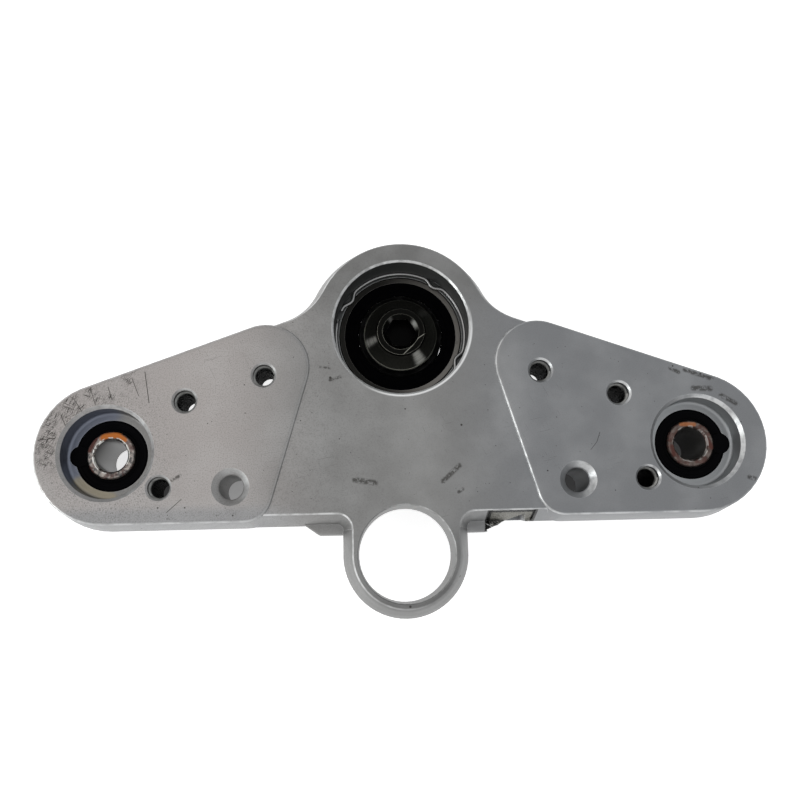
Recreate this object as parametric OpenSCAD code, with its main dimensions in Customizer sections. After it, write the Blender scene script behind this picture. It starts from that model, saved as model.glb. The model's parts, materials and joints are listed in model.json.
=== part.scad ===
// Upper fork bridge (top triple clamp) with rubber-bushed fork eyes and a ball-bearing steering pivot
// The steering axis is the Z axis and the bridge rests on z = 0, with its fork eyes towards -Y

/* [Layout] */
// Distance between the two fork-leg axes
fork_spacing = 213; // [200:1:226]
// Distance from the steering axis back to the line of the fork legs
fork_setback = 45; // [43:1:50]
// Distance from the steering axis back to the ignition lock's ring
ring_setback = 82.9; // [80:0.5:90]
// Slope of the wings' front edge
wing_angle = 19.7; // [18.5:0.1:20.5]

/* [Forging] */
// Height from the resting bosses to the middle top face
bridge_h = 34; // [32:0.5:40]
// Thickness of the plate at the middle
plate_t = 23.2; // [20:0.2:24]
// Depth of the parting line below the middle top face
parting_depth = 12; // [9:0.5:13]
// Radius of the hub at the parting line
hub_r = 35.9; // [34.5:0.1:37]
// Radius of a wing's tip at the parting line
tip_r = 27.2; // [26:0.1:28.5]
// Radius of the ring at the parting line
ring_r = 22.9; // [22:0.1:25]
// Fillet between the hub and a wing's front edge at the parting line
hub_fillet_r = 20; // [15:0.5:24]
// Fillet between the ring's neck and the rear wall at the parting line
neck_fillet_r = 1.8; // [1:0.1:3]
// How far the middle's side walls lean in from the parting line to the top
middle_lean = 4.1; // [3:0.1:4.5]
// How far the wings' side walls lean in from the parting line to the pad's edge
wing_lean = 1.6; // [1:0.1:2.5]
// Lean of every side wall from the parting line down to the underside
lower_lean = 1; // [0.5:0.1:1.5]
// Height that the wings stand proud of the middle at the parting line's front and rear
wing_step = 0.3; // [0.2:0.1:0.6]

/* [Pads] */
// Height of the handlebar pads above the middle top face
pad_rise = 1.1; // [0.6:0.1:2]
// Width of the rounded edge round a pad
pad_edge = 1.5; // [0.8:0.1:2]
// Sideways place of a pad's front inner corner
pad_front_x = 50; // [48:0.5:52]
// Radius of a pad's front inner corner at the parting line
pad_front_r = 17.7; // [16:0.1:19]
// Sideways place of a pad's rear inner corner
pad_rear_x = 57.2; // [55:0.1:60]
// Radius of a pad's rear inner corner at the parting line
pad_rear_r = 11.6; // [10:0.1:13]

/* [Handlebar holes] */
// Radius of the bolt threads at their roots
bar_thread_r = 4; // [3:0.1:4.2]
// Width of the chamfer at each threaded hole
bar_chamfer = 0.72; // [0.4:0.02:1]
// Radius of the plain countersunk holes
pin_hole_r = 4.4; // [4:0.1:4.8]
// Radius of the countersinks at the pad
pin_sink_r = 6.75; // [6:0.05:7]
// Sideways places of the inner, middle and outer threaded holes and of the countersunk hole
bar_x = [50.5, 78.8, 87.4, 62.1]; // [40:0.1:90]
// Distances of the same holes behind the steering axis
bar_y = [17.7, 26.7, 57.8, 58]; // [10:0.1:70]

/* [Fork eyes] */
// Radius of the bore that holds a rubber bush
bush_r = 13.1; // [12:0.1:13.6]
// Radius of the recess above a bush
eye_r = 16.2; // [15.5:0.1:16.4]
// Depth of that recess below the pad
eye_depth = 8.7; // [7:0.1:11]
// Width of the recess's chamfer
eye_chamfer = 1.25; // [0.6:0.05:1.3]
// Radius of the round locating lug on a bush
lug_r = 3.9; // [3:0.1:4.2]
// Distance from a fork axis out to the middle of its bush's lug
lug_out = 11.3; // [10.5:0.1:12]
// Height of the locating lug
lug_h = 6; // [4:0.5:9]
// Outer radius of the steel sleeve in a bush
sleeve_r = 8.75; // [8:0.05:9.5]
// Bore radius of the steel sleeve
sleeve_bore_r = 5.9; // [5.5:0.05:6.4]
// Height that the sleeve stands above the rubber
sleeve_rise = 1.2; // [0.6:0.1:2.4]
// Radius of the boss under a fork eye
eye_boss_r = 17.6; // [17:0.1:18.2]
// Height of the ledge that a bush stands on
bush_ledge_h = 2.5; // [2:0.1:4]
// Width of that ledge
bush_ledge_w = 1.6; // [1:0.1:2.4]

/* [Hub] */
// Radius of the recess in the hub
recess_r = 25.05; // [24.8:0.05:25.6]
// Depth of that recess down to the bearing's upper face
recess_depth = 13.9; // [12:0.1:16]
// Width of the recess's chamfer
recess_chamfer = 0.7; // [0.4:0.05:1]
// Radius of the opening under the bearing
hub_throat_r = 19.5; // [18:0.1:20.5]
// Radius of the boss under the hub
hub_boss_r = 30.5; // [28:0.1:31.5]
// Wire radius of the bearing's retaining ring
wire_r = 0.75; // [0.6:0.05:0.9]
// Depth of the ring's groove in the recess wall
groove_depth = 0.5; // [0.3:0.05:0.8]
// Depth of the ring's three inward bends
bend_depth = 2; // [1:0.1:2.2]

/* [Bearing] */
// Outer radius of the ball bearing
bearing_r = 23.5; // [23:0.1:24]
// Bore radius of the ball bearing
bearing_bore_r = 12.5; // [12:0.1:13]
// Width of the ball bearing
bearing_w = 12; // [11.6:0.1:12.6]
// Radius of each ball
ball_r = 3.5; // [3.3:0.05:3.6]
// Number of balls
ball_count = 10; // [8:1:12]
// Wall of the outer race above and below the balls
outer_race_t = 2.2; // [2:0.1:2.4]
// Wall of the inner race above and below the balls
inner_race_t = 3.4; // [3:0.1:3.6]

/* [Pivot bolt] */
// Radius of the bolt's flange
flange_r = 14; // [13.5:0.1:15]
// Thickness of the flange
flange_t = 1.5; // [1:0.1:2.5]
// Height of the bolt's head above the bearing
head_h = 6.6; // [5:0.1:8]
// Radius of the head at its top
head_top_r = 9.3; // [8.5:0.1:10.5]
// Size of the hexagon socket across its flats
socket_af = 10.2; // [9:0.1:12]
// Radius of the socket's chamfered mouth
socket_mouth_r = 6.9; // [6.5:0.1:8]
// Depth of the hexagon socket
socket_depth = 7; // [5:0.1:9]
// Radius of the shank below the bearing
shank_r = 10; // [8:0.1:11]
// Height of the shank's end above the resting plane
shank_rise = 1.2; // [1:0.1:4]

/* [Ignition ring] */
// Radius of the ignition lock's bore
lock_bore_r = 17.25; // [16.5:0.05:17.5]
// Width of the bore's chamfer
lock_chamfer = 0.4; // [0.2:0.05:0.6]

/* [Steering stops] */
// How far a stop stands out from the rear wall
stop_out = 3.4; // [2:0.1:4]
// Width of a stop at the rear wall, beside the ring's neck
stop_w = 14.2; // [12:0.1:16]
// How much narrower a stop is at its outer face
stop_taper = 5; // [3:0.1:6]
// Height of a stop
stop_h = 9; // [6:0.5:10]
// Width that has broken off the end of the right stop
break_w = 7.1; // [5:0.1:8]
// Width of the torn patch in the rear wall beyond that break
patch_w = 16.5; // [10:0.5:20]
// Depth of the torn patch
patch_depth = 0.5; // [0.3:0.1:0.8]

/* [Underside] */
// Depth of the pockets in the underside
pocket_depth = 12; // [6:0.5:13]
// Radius of the pockets' corners
pocket_r = 3; // [2:0.1:3.5]

/* [Hidden] */

// Slack left between two pieces that are pressed together
press_gap = 0.02;
// Running gap between a ball and its races
ball_gap = 0.03;
// Gap between pieces that turn past each other
turn_gap = 0.3;
// Amount that a cut runs past the face it opens
over = 1;
// Smoothness of true round faces, of hulled corners, of the stops and of small arcs
round_fn = 96;
post_fn = 48;
stop_fn = 32;
arc_steps = 8;

fork_x = fork_spacing / 2;
fork_y = -fork_setback;
ring_y = -ring_setback;
pad_z = bridge_h + pad_rise;
parting_z = bridge_h - parting_depth;
plate_z = bridge_h - plate_t;
rear_y = fork_y - tip_r;
bar_count = 3;

// Small broken edge at the top of the middle and at the underside
top_break = 0.4;
foot_break = 0.8;

// Heights paired with how far each wall stands in from the parting line
middle_wall = [
    [bridge_h, middle_lean],
    [bridge_h - top_break, middle_lean - top_break],
    [parting_z, 0],
    [plate_z + foot_break, lower_lean],
    [plate_z, lower_lean + foot_break]];
// The pad's rounded edge falls through a quarter ellipse to the wing's side wall
wing_wall = concat(
    [for (i = [arc_steps : -2 : 0]) let (a = 90 * i / arc_steps)
        [pad_z - pad_rise * (1 - sin(a)), wing_lean + pad_edge * (1 - cos(a))]],
    [[parting_z, 0], [plate_z + foot_break, lower_lean], [plate_z, lower_lean + foot_break]]);

// Unit direction out of the right wing's front edge, and that edge's distance from the axis
front_n = [sin(wing_angle), cos(wing_angle)];
front_t = [cos(wing_angle), -sin(wing_angle)];
front_d = front_n * [fork_x, fork_y] + tip_r;
pad_front_y = (front_d - pad_front_r - front_n[0] * pad_front_x) / front_n[1];
pad_rear_y = rear_y + pad_rear_r;

// Where the break in the right stop starts
break_x = ring_r + stop_w - break_w;

// The middle stays a little inside the wings so that each pad stands proud of it
middle_d = front_d - wing_step;
middle_rear_y = rear_y + wing_step;

// Centre of the round fillet between the hub and the middle's front edge
fillet_n = middle_d + hub_fillet_r;
fillet_t = sqrt(pow(hub_r + hub_fillet_r, 2) - pow(fillet_n, 2));
fillet_c = fillet_n * front_n + fillet_t * front_t;

bearing_z = bridge_h - recess_depth;
bearing_foot_z = bearing_z - bearing_w;
ball_z = bearing_z - bearing_w / 2;
outer_race_in_r = bearing_r - outer_race_t;
inner_race_out_r = bearing_bore_r + inner_race_t;
pitch_r = (outer_race_in_r + inner_race_out_r) / 2;
eye_floor_z = pad_z - eye_depth;
rubber_top_z = eye_floor_z - press_gap;
sleeve_top_z = rubber_top_z + sleeve_rise;

function arc(c, r, from, to, n) = [for (i = [0 : n])
    c + r * [cos(from + (to - from) * i / n), sin(from + (to - from) * i / n)]];

// Round corner that replaces the point b between its neighbours a and c
function corner(a, b, c, r) = let (
    u = (a - b) / norm(a - b),
    v = (c - b) / norm(c - b),
    half = acos(u * v) / 2,
    mid = b + (u + v) / norm(u + v) * r / sin(half),
    foot_u = b + u * r / tan(half) - mid,
    foot_v = b + v * r / tan(half) - mid,
    start = atan2(foot_u[1], foot_u[0]),
    turn = atan2(foot_v[1], foot_v[0]) - start,
    sweep = turn > 180 ? turn - 360 : turn < -180 ? turn + 360 : turn)
    arc(mid, r, start, start + sweep, arc_steps);

function rounded(p, r) = [for (i = [0 : len(p) - 1])
    each corner(p[(i + len(p) - 1) % len(p)], p[i], p[(i + 1) % len(p)], r)];

// Solid of revolution whose radius follows a wall; grow is 1 for a boss and -1 for a cut
module wall_post(r, wall, grow = 1, fn = round_fn) {
    last = len(wall) - 1;
    rotate_extrude($fn = fn) polygon(concat(
        [[0, wall[0][0]]],
        [for (w = wall) [r - grow * w[1], w[0]]],
        [[0, wall[last][0]]]));
}

module wing_post(p, r) {
    translate(p) wall_post(r, wing_wall, 1, post_fn);
}

module both_sides() {
    children();
    mirror([1, 0, 0]) children();
}

// Right wing, from its tip to the inner corners of its pad
module wing() {
    hull() {
        wing_post([fork_x, fork_y], tip_r);
        wing_post([pad_front_x, pad_front_y], pad_front_r);
        wing_post([pad_rear_x, pad_rear_y], pad_rear_r);
    }
}

// Slab that ends in a leaning wall at a distance from the steering axis, facing one way
module leaning_slab(distance, facing, half_w) {
    rotate([90, 0, facing]) translate([0, 0, -half_w]) linear_extrude(2 * half_w) polygon(concat(
        [for (w = middle_wall) [distance - w[1], w[0]]],
        [[-2 * fork_spacing, plate_z], [-2 * fork_spacing, bridge_h]]));
}

// Middle of the bridge: two front walls that meet under the hub, and a straight rear wall
module middle_plate() {
    side_x = fork_x - tip_r;
    intersection() {
        leaning_slab(middle_d, 90 - wing_angle, fork_spacing);
        leaning_slab(middle_d, 90 + wing_angle, fork_spacing);
        leaning_slab(-middle_rear_y, -90, side_x);
    }
}

module hub() {
    wall_post(hub_r, middle_wall);
    rotate_extrude($fn = round_fn) polygon([[0, 0], [hub_boss_r - foot_break - lower_lean, 0],
        [hub_boss_r - lower_lean, foot_break], [hub_boss_r, plate_z + over], [0, plate_z + over]]);
}

module ring_and_neck() {
    translate([0, ring_y]) wall_post(ring_r, middle_wall);
    // The neck stays a hair inside the ring, so the ring keeps its true round wall
    x = ring_r - 0.05;
    reach = middle_rear_y + ring_r - ring_y;
    translate([0, ring_y + reach]) rotate([90, 0, 0]) linear_extrude(reach) polygon(concat(
        [for (w = middle_wall) [x - w[1], w[0]]],
        [for (i = [len(middle_wall) - 1 : -1 : 0]) [middle_wall[i][1] - x, middle_wall[i][0]]]));
}

// Web that fills the corner outside a concave fillet, cut back to the fillet's leaning wall
module fillet_web(points, centre, r) {
    difference() {
        translate([0, 0, plate_z]) linear_extrude(plate_t) polygon(points);
        translate(centre) {
            wall_post(r, middle_wall, -1);
            translate([0, 0, bridge_h - top_break]) cylinder(h = top_break + over,
                r = r + middle_lean - top_break, $fn = round_fn);
            translate([0, 0, plate_z - over]) cylinder(h = foot_break + over,
                r = r + lower_lean, $fn = round_fn);
        }
    }
}

// The web stops a hair short of both tangent lines, so its sides meet the walls at an angle,
// and its middle corner reaches in past the place where the two leaning walls meet at the top
module hub_web() {
    short = 2;
    reach = hub_fillet_r + 7;
    hub_side = atan2(-fillet_c[1], -fillet_c[0]) + short;
    wall_side = atan2(-front_n[1], -front_n[0]) - short;
    inner_corner = [reach + 1.2, (hub_side + wall_side) / 2];
    fillet_web([fillet_c, for (p = [[reach, hub_side], inner_corner, [reach, wall_side]])
        fillet_c + p[0] * [cos(p[1]), sin(p[1])]], fillet_c, hub_fillet_r);
}

module neck_web() {
    c = [ring_r + neck_fillet_r, middle_rear_y - neck_fillet_r];
    reach = neck_fillet_r + middle_lean + over;
    fillet_web([c, c + [-reach, 0], c + [-reach, reach], c + [0, reach]], c, neck_fillet_r);
}

// Steering stop on the rear wall beside the ring's neck, with a slanting outer end
module steering_stop() {
    corner_r = 2.2;
    root_r = 1;
    heel = 3.4;
    top_z = parting_z + 0.6;
    foot_z = top_z - stop_h;
    out_y = middle_rear_y - stop_out + corner_r;
    out_x = ring_r + stop_w - stop_taper - corner_r / 2;
    hull() {
        for (x = [ring_r - corner_r, out_x]) translate([x, out_y, foot_z]) {
            cylinder(h = stop_h - corner_r, r = corner_r, $fn = stop_fn);
            translate([0, 0, stop_h - corner_r]) sphere(r = corner_r, $fn = stop_fn);
        }
        for (p = [[ring_r - corner_r, heel], [ring_r + stop_w - root_r, root_r],
                [ring_r + stop_w - heel, heel]])
            translate([p[0], middle_rear_y + p[1], foot_z - root_r])
                cylinder(h = stop_h + 2 * root_r, r = root_r, $fn = stop_fn);
    }
}

// The right stop has lost its outer end: a small step, then a slanting face back to the wall
module broken_stop_cut() {
    step = 0.7;
    slant = [7, 0, 25];
    translate([break_x, middle_rear_y - stop_out + step, parting_z]) rotate(slant)
        translate([0, -2 * stop_out, -stop_h]) cube([stop_w, 2 * stop_out, 2 * stop_h]);
}

// Shallow patch torn out of the leaning rear wall, from the break outwards
module torn_patch_cut() {
    rise = parting_depth - top_break;
    run = middle_lean - top_break;
    patch_h = norm([rise, run]) - top_break;
    corner_r = 3;
    translate([break_x, middle_rear_y, parting_z]) rotate([90 - atan2(run, rise), 0, 0])
        translate([0, 0, -patch_depth]) linear_extrude(patch_depth + over) polygon(concat(
            [[0, patch_h], [0, 0]],
            arc([patch_w - corner_r, corner_r], corner_r, -90, 0, arc_steps),
            [[patch_w, patch_h]]));
}

module eye_boss() {
    translate([fork_x, fork_y]) rotate_extrude($fn = round_fn) polygon([
        [0, 0], [eye_boss_r - foot_break - lower_lean, 0], [eye_boss_r - lower_lean, foot_break],
        [eye_boss_r, plate_z + over], [0, plate_z + over]]);
}

// Everything that is cut for one fork eye, standing on the fork axis
module eye_cut() {
    translate([fork_x, fork_y]) {
        translate([0, 0, -over]) cylinder(h = bridge_h, r = bush_r - bush_ledge_w, $fn = round_fn);
        translate([0, 0, bush_ledge_h]) cylinder(h = bridge_h, r = bush_r, $fn = round_fn);
        // The recess has a small round where its wall meets its floor
        floor_r = 1.4;
        rotate_extrude($fn = round_fn) polygon(concat(
            [[0, pad_z + over], [0, eye_floor_z]],
            arc([eye_r - floor_r, eye_floor_z + floor_r], floor_r, -90, 0, arc_steps),
            [[eye_r, pad_z - eye_chamfer], [eye_r + eye_chamfer, pad_z],
                [eye_r + eye_chamfer, pad_z + over]]));
        translate([lug_out, 0, eye_floor_z - lug_h - press_gap])
            cylinder(h = lug_h + 2 * press_gap, r = lug_r, $fn = round_fn);
    }
}

module bar_hole_cuts() {
    for (i = [0 : bar_count - 1]) translate([bar_x[i], -bar_y[i]]) {
        cylinder(h = pad_z + over, r = bar_thread_r, $fn = round_fn);
        translate([0, 0, pad_z - bar_chamfer])
            cylinder(h = bar_chamfer, r1 = bar_thread_r, r2 = bar_thread_r + bar_chamfer, $fn = round_fn);
    }
    sink_depth = pin_sink_r - pin_hole_r;
    translate([bar_x[bar_count], -bar_y[bar_count]]) {
        cylinder(h = pad_z + over, r = pin_hole_r, $fn = round_fn);
        translate([0, 0, pad_z - sink_depth])
            cylinder(h = sink_depth, r1 = pin_hole_r, r2 = pin_sink_r, $fn = round_fn);
    }
}

module hub_cut() {
    groove_h = 2 * wire_r + 0.2;
    rotate_extrude($fn = round_fn) polygon([
        [0, -over], [hub_throat_r, -over], [hub_throat_r, bearing_foot_z],
        [bearing_r, bearing_foot_z], [bearing_r, bearing_z],
        [recess_r + groove_depth, bearing_z], [recess_r + groove_depth, bearing_z + groove_h],
        [recess_r, bearing_z + groove_h], [recess_r, bridge_h - recess_chamfer],
        [recess_r + recess_chamfer, bridge_h], [recess_r + recess_chamfer, bridge_h + over],
        [0, bridge_h + over]]);
}

module lock_cut() {
    translate([0, ring_y]) {
        translate([0, 0, plate_z - over])
            cylinder(h = plate_t + 2 * over, r = lock_bore_r, $fn = round_fn);
        translate([0, 0, bridge_h - lock_chamfer]) cylinder(h = lock_chamfer,
            r1 = lock_bore_r, r2 = lock_bore_r + lock_chamfer, $fn = round_fn);
    }
}

// Pockets of the right half, between the ribs that join the bosses; each corner is taken from
// the hub's wall, the rear wall or the handlebar hole that it keeps clear of
module pocket_cuts() {
    rib = 3;
    wide = 3 * rib;
    edge = hub_r + rib;
    inner = [bar_x[0], -bar_y[0]];
    middle = [bar_x[1], -bar_y[1]];
    outer = [bar_x[2], -bar_y[2]];
    pin = [bar_x[3], -bar_y[3]];
    beside_ring = [[rib, -edge], [edge - 4 * rib, wide - edge], [edge - 4 * rib, rear_y + 17],
        [rib, ring_y + ring_r + rib]];
    beside_hub = [[edge - 5, -edge + 14], inner + [-wide, -wide], [pad_rear_x - 7, rear_y + 13],
        [edge - 5, rear_y + wide]];
    under_pad = [inner + [1, -wide - 2], middle + [-wide, -5], pin + [1, wide + 1],
        pin + [-5, wide + 1]];
    beside_eye = [middle + [-rib, -wide - 1], [fork_x - eye_boss_r - rib, fork_y + rib],
        outer + [-wide, 7], pin + [8, 7]];
    for (p = [beside_ring, beside_hub, under_pad, beside_eye]) translate([0, 0, plate_z - over])
        linear_extrude(pocket_depth + over) polygon(rounded(p, pocket_r));
}

module fork_bridge() {
    color([0.53, 0.54, 0.55]) difference() {
        union() {
            middle_plate();
            hub();
            ring_and_neck();
            both_sides() {
                wing();
                hub_web();
                neck_web();
                steering_stop();
                eye_boss();
            }
        }
        hub_cut();
        lock_cut();
        both_sides() {
            eye_cut();
            bar_hole_cuts();
            pocket_cuts();
        }
        broken_stop_cut();
        torn_patch_cut();
    }
}

// Rubber bush on the right fork axis, with a dished top and its locating lug
module bush_rubber() {
    r_out = bush_r - press_gap;
    r_in = sleeve_r + press_gap;
    foot_z = bush_ledge_h + press_gap;
    rim_w = 1;
    dish = 0.5;
    color([0.05, 0.05, 0.055]) translate([fork_x, fork_y]) {
        rotate_extrude($fn = round_fn) polygon([
            [r_in, foot_z], [r_out - rim_w / 2, foot_z], [r_out, foot_z + rim_w / 2],
            [r_out, rubber_top_z], [r_out - rim_w, rubber_top_z],
            [r_out - rim_w - dish, rubber_top_z - dish], [r_in + rim_w + dish, rubber_top_z - dish],
            [r_in + rim_w, rubber_top_z], [r_in, rubber_top_z]]);
        difference() {
            translate([lug_out, 0, rubber_top_z - lug_h])
                cylinder(h = lug_h, r = lug_r - press_gap, $fn = round_fn);
            translate([0, 0, rubber_top_z - lug_h - over])
                cylinder(h = lug_h + 2 * over, r = r_out - rim_w, $fn = round_fn);
        }
    }
}

module bush_sleeve() {
    edge = 0.6;
    color([0.45, 0.38, 0.34]) translate([fork_x, fork_y]) rotate_extrude($fn = round_fn) polygon([
        [sleeve_bore_r, 0], [sleeve_r - edge, 0], [sleeve_r, edge], [sleeve_r, sleeve_top_z - edge],
        [sleeve_r - edge, sleeve_top_z], [sleeve_bore_r + edge, sleeve_top_z],
        [sleeve_bore_r, sleeve_top_z - edge]]);
}

module bush_rubber_right() { bush_rubber(); }
module bush_rubber_left() { mirror([1, 0, 0]) bush_rubber(); }
module bush_sleeve_right() { bush_sleeve(); }
module bush_sleeve_left() { mirror([1, 0, 0]) bush_sleeve(); }

// Torus that the balls leave as a groove in the races
module ball_track() {
    translate([0, 0, ball_z]) rotate_extrude($fn = round_fn)
        translate([pitch_r, 0]) circle(r = ball_r + ball_gap, $fn = round_fn);
}

module bearing_outer_race() {
    edge = 0.5;
    r_out = bearing_r - press_gap;
    r_in = outer_race_in_r;
    color([0.55, 0.56, 0.57]) difference() {
        rotate_extrude($fn = round_fn) polygon([
            [r_in, bearing_foot_z], [r_out - edge, bearing_foot_z],
            [r_out, bearing_foot_z + edge], [r_out, bearing_z - edge],
            [r_out - edge, bearing_z], [r_in, bearing_z]]);
        ball_track();
    }
}

module bearing_inner_race() {
    edge = 0.4;
    r_out = inner_race_out_r;
    r_in = bearing_bore_r;
    color([0.3, 0.3, 0.31]) difference() {
        rotate_extrude($fn = round_fn) polygon([
            [r_in, bearing_foot_z], [r_out - edge, bearing_foot_z],
            [r_out, bearing_foot_z + edge], [r_out, bearing_z - edge],
            [r_out - edge, bearing_z], [r_in, bearing_z]]);
        ball_track();
    }
}

module bearing_balls() {
    color([0.75, 0.76, 0.78]) for (i = [0 : ball_count - 1]) rotate(360 * i / ball_count)
        translate([pitch_r, 0, ball_z]) sphere(r = ball_r, $fn = round_fn);
}

// Machined cage whose round pockets hold the balls apart
module bearing_cage() {
    half_w = 1;
    pocket_gap = 0.08;
    bridge_t = 0.75;
    half_h = ball_r + pocket_gap + bridge_t;
    color([0.6, 0.55, 0.35]) difference() {
        translate([0, 0, ball_z - half_h]) rotate_extrude($fn = round_fn)
            translate([pitch_r - half_w, 0]) square([2 * half_w, 2 * half_h]);
        for (i = [0 : ball_count - 1]) rotate(360 * i / ball_count)
            translate([pitch_r, 0, ball_z]) sphere(r = ball_r + pocket_gap, $fn = round_fn);
    }
}

// Rubber-covered seal washer that is held by the outer race and clears the inner one
module seal_washer(z) {
    seal_t = 0.8;
    color([0.06, 0.06, 0.065]) translate([0, 0, z - seal_t / 2]) rotate_extrude($fn = round_fn)
        translate([inner_race_out_r + turn_gap, 0])
            square([outer_race_in_r - press_gap - inner_race_out_r - turn_gap, seal_t]);
}

seal_inset = 0.7;
module bearing_seal_upper() { seal_washer(bearing_z - seal_inset); }
module bearing_seal_lower() { seal_washer(bearing_foot_z + seal_inset); }

// Spring wire ring with three inward bends that reach over the outer race
module bearing_retaining_ring() {
    steps = 108;
    sides = 10;
    gap_half = 4;
    start = 160;
    bends = [143, 56, 335];
    bend_half = 11;
    seat_r = recess_r + groove_depth - wire_r - 0.1;
    wire_z = bearing_z + wire_r + 0.05;
    function bend_at(a) = let (
        near = min([for (b = bends) min(abs(a % 360 - b), 360 - abs(a % 360 - b))]))
        near < bend_half ? (1 + cos(180 * near / bend_half)) / 2 : 0;
    function path(i) = let (a = start + gap_half + (360 - 2 * gap_half) * i / steps)
        (seat_r - bend_depth * bend_at(a)) * [cos(a), sin(a)];
    function tangent(i) = let (d = path(min(i + 1, steps)) - path(max(i - 1, 0))) d / norm(d);
    points = [for (i = [0 : steps]) let (p = path(i), t = tangent(i), s = [t[1], -t[0]])
        for (k = [0 : sides - 1]) let (a = 360 * k / sides)
            [p[0] + wire_r * cos(a) * s[0], p[1] + wire_r * cos(a) * s[1], wire_z + wire_r * sin(a)]];
    faces = concat(
        [[for (k = [0 : sides - 1]) k]],
        [for (i = [0 : steps - 1]) for (k = [0 : sides - 1]) let (n = (k + 1) % sides)
            [i * sides + k, (i + 1) * sides + k, (i + 1) * sides + n, i * sides + n]],
        [[for (k = [sides - 1 : -1 : 0]) steps * sides + k]]);
    color([0.7, 0.71, 0.72]) polyhedron(points = points, faces = faces);
}

// Hollow-headed bolt that clamps the inner race and turns with it
module pivot_bolt() {
    neck_r = bearing_bore_r - press_gap;
    cone_r = flange_r - 0.3;
    top_z = bearing_z + head_h;
    mouth = socket_mouth_r - socket_af / 2;
    tip_break = 0.8;
    hex_r = socket_af / 2 / cos(30);
    color([0.08, 0.08, 0.085]) difference() {
        rotate_extrude($fn = round_fn) polygon([
            [0, shank_rise], [shank_r - tip_break, shank_rise], [shank_r, shank_rise + tip_break],
            [shank_r, bearing_foot_z], [neck_r, bearing_foot_z],
            [neck_r, bearing_z], [flange_r, bearing_z], [flange_r, bearing_z + flange_t],
            [cone_r, bearing_z + flange_t + 0.1], [head_top_r, top_z - 0.4],
            [head_top_r - 0.4, top_z], [0, top_z]]);
        translate([0, 0, top_z - socket_depth]) cylinder(h = socket_depth + over, r = hex_r, $fn = 6);
        translate([0, 0, top_z - mouth])
            cylinder(h = mouth + over, r1 = socket_af / 2, r2 = socket_mouth_r + over, $fn = round_fn);
    }
}

fork_bridge();
bush_rubber_left();
bush_rubber_right();
bush_sleeve_left();
bush_sleeve_right();
bearing_outer_race();
bearing_inner_race();
bearing_balls();
bearing_cage();
bearing_seal_upper();
bearing_seal_lower();
bearing_retaining_ring();
pivot_bolt();
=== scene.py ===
"""Looks of a motorcycle's upper fork bridge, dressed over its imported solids.

Sizes are in millimetres in the bridge's own frame: the steering axis is Z, the bridge rests on
z = 0 and the ignition ring points to -Y. They become metres where a mesh or a light is made.
"""
from __future__ import annotations

import json
import logging
import math
from dataclasses import dataclass
from enum import Enum

import bpy
from mathutils import Matrix, Vector

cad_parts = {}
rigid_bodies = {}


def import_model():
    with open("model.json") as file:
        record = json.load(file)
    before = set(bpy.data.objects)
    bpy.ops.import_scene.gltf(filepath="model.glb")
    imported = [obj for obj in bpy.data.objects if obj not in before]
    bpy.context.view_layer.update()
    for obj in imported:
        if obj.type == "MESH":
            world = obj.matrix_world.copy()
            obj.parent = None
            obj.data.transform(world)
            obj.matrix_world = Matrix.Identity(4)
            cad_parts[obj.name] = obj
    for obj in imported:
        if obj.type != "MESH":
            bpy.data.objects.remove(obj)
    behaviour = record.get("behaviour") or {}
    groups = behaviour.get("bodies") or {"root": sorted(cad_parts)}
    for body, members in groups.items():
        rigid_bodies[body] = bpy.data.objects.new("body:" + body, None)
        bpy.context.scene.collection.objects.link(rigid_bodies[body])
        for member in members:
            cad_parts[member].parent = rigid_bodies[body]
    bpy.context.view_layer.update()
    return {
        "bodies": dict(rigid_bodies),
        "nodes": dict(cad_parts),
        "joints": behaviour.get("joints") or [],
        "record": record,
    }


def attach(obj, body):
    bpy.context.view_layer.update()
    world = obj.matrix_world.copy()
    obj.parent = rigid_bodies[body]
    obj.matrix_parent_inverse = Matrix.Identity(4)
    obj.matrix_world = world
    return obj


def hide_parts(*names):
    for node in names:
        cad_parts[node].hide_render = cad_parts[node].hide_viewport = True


LOG = logging.getLogger("fork_bridge")
MM = 0.001
Socket = bpy.types.NodeSocket
Amount = float | Socket
Point = tuple[float, float]
Rgb = tuple[float, float, float]
Stroke = tuple[Point, Point, float]


class Side(Enum):
    """Side of the bridge, as its sign along X."""

    LEFT = -1
    RIGHT = 1

    @property
    def word(self) -> str:
        """Name of the side in the names of pieces."""
        return self.name.lower()


class Body(Enum):
    """Rigid bodies of the frame."""

    BRIDGE = "bridge"
    PIVOT = "pivot"
    CAGE = "cage"


@dataclass(frozen=True)
class Plan:
    """Driving places and heights of the real bridge, in millimetres."""

    fork_x: float = 106.5
    fork_y: float = -45.0
    ring_y: float = -82.9
    middle_z: float = 34.0
    pad_z: float = 35.1
    parting_z: float = 22.0
    plate_z: float = 10.8
    rear_y: float = -71.9
    bearing_z: float = 20.1
    bearing_foot_z: float = 8.1
    recess_r: float = 25.05
    eye_r: float = 16.2
    eye_floor_z: float = 26.4
    thread_holes: tuple[Point, ...] = ((50.5, -17.7), (78.8, -26.7), (87.4, -57.8))
    pin_hole: Point = (62.1, -58.0)


PLAN = Plan()


def grey(level: float) -> Rgb:
    """Neutral colour of one level."""
    return (level, level, level)


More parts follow.
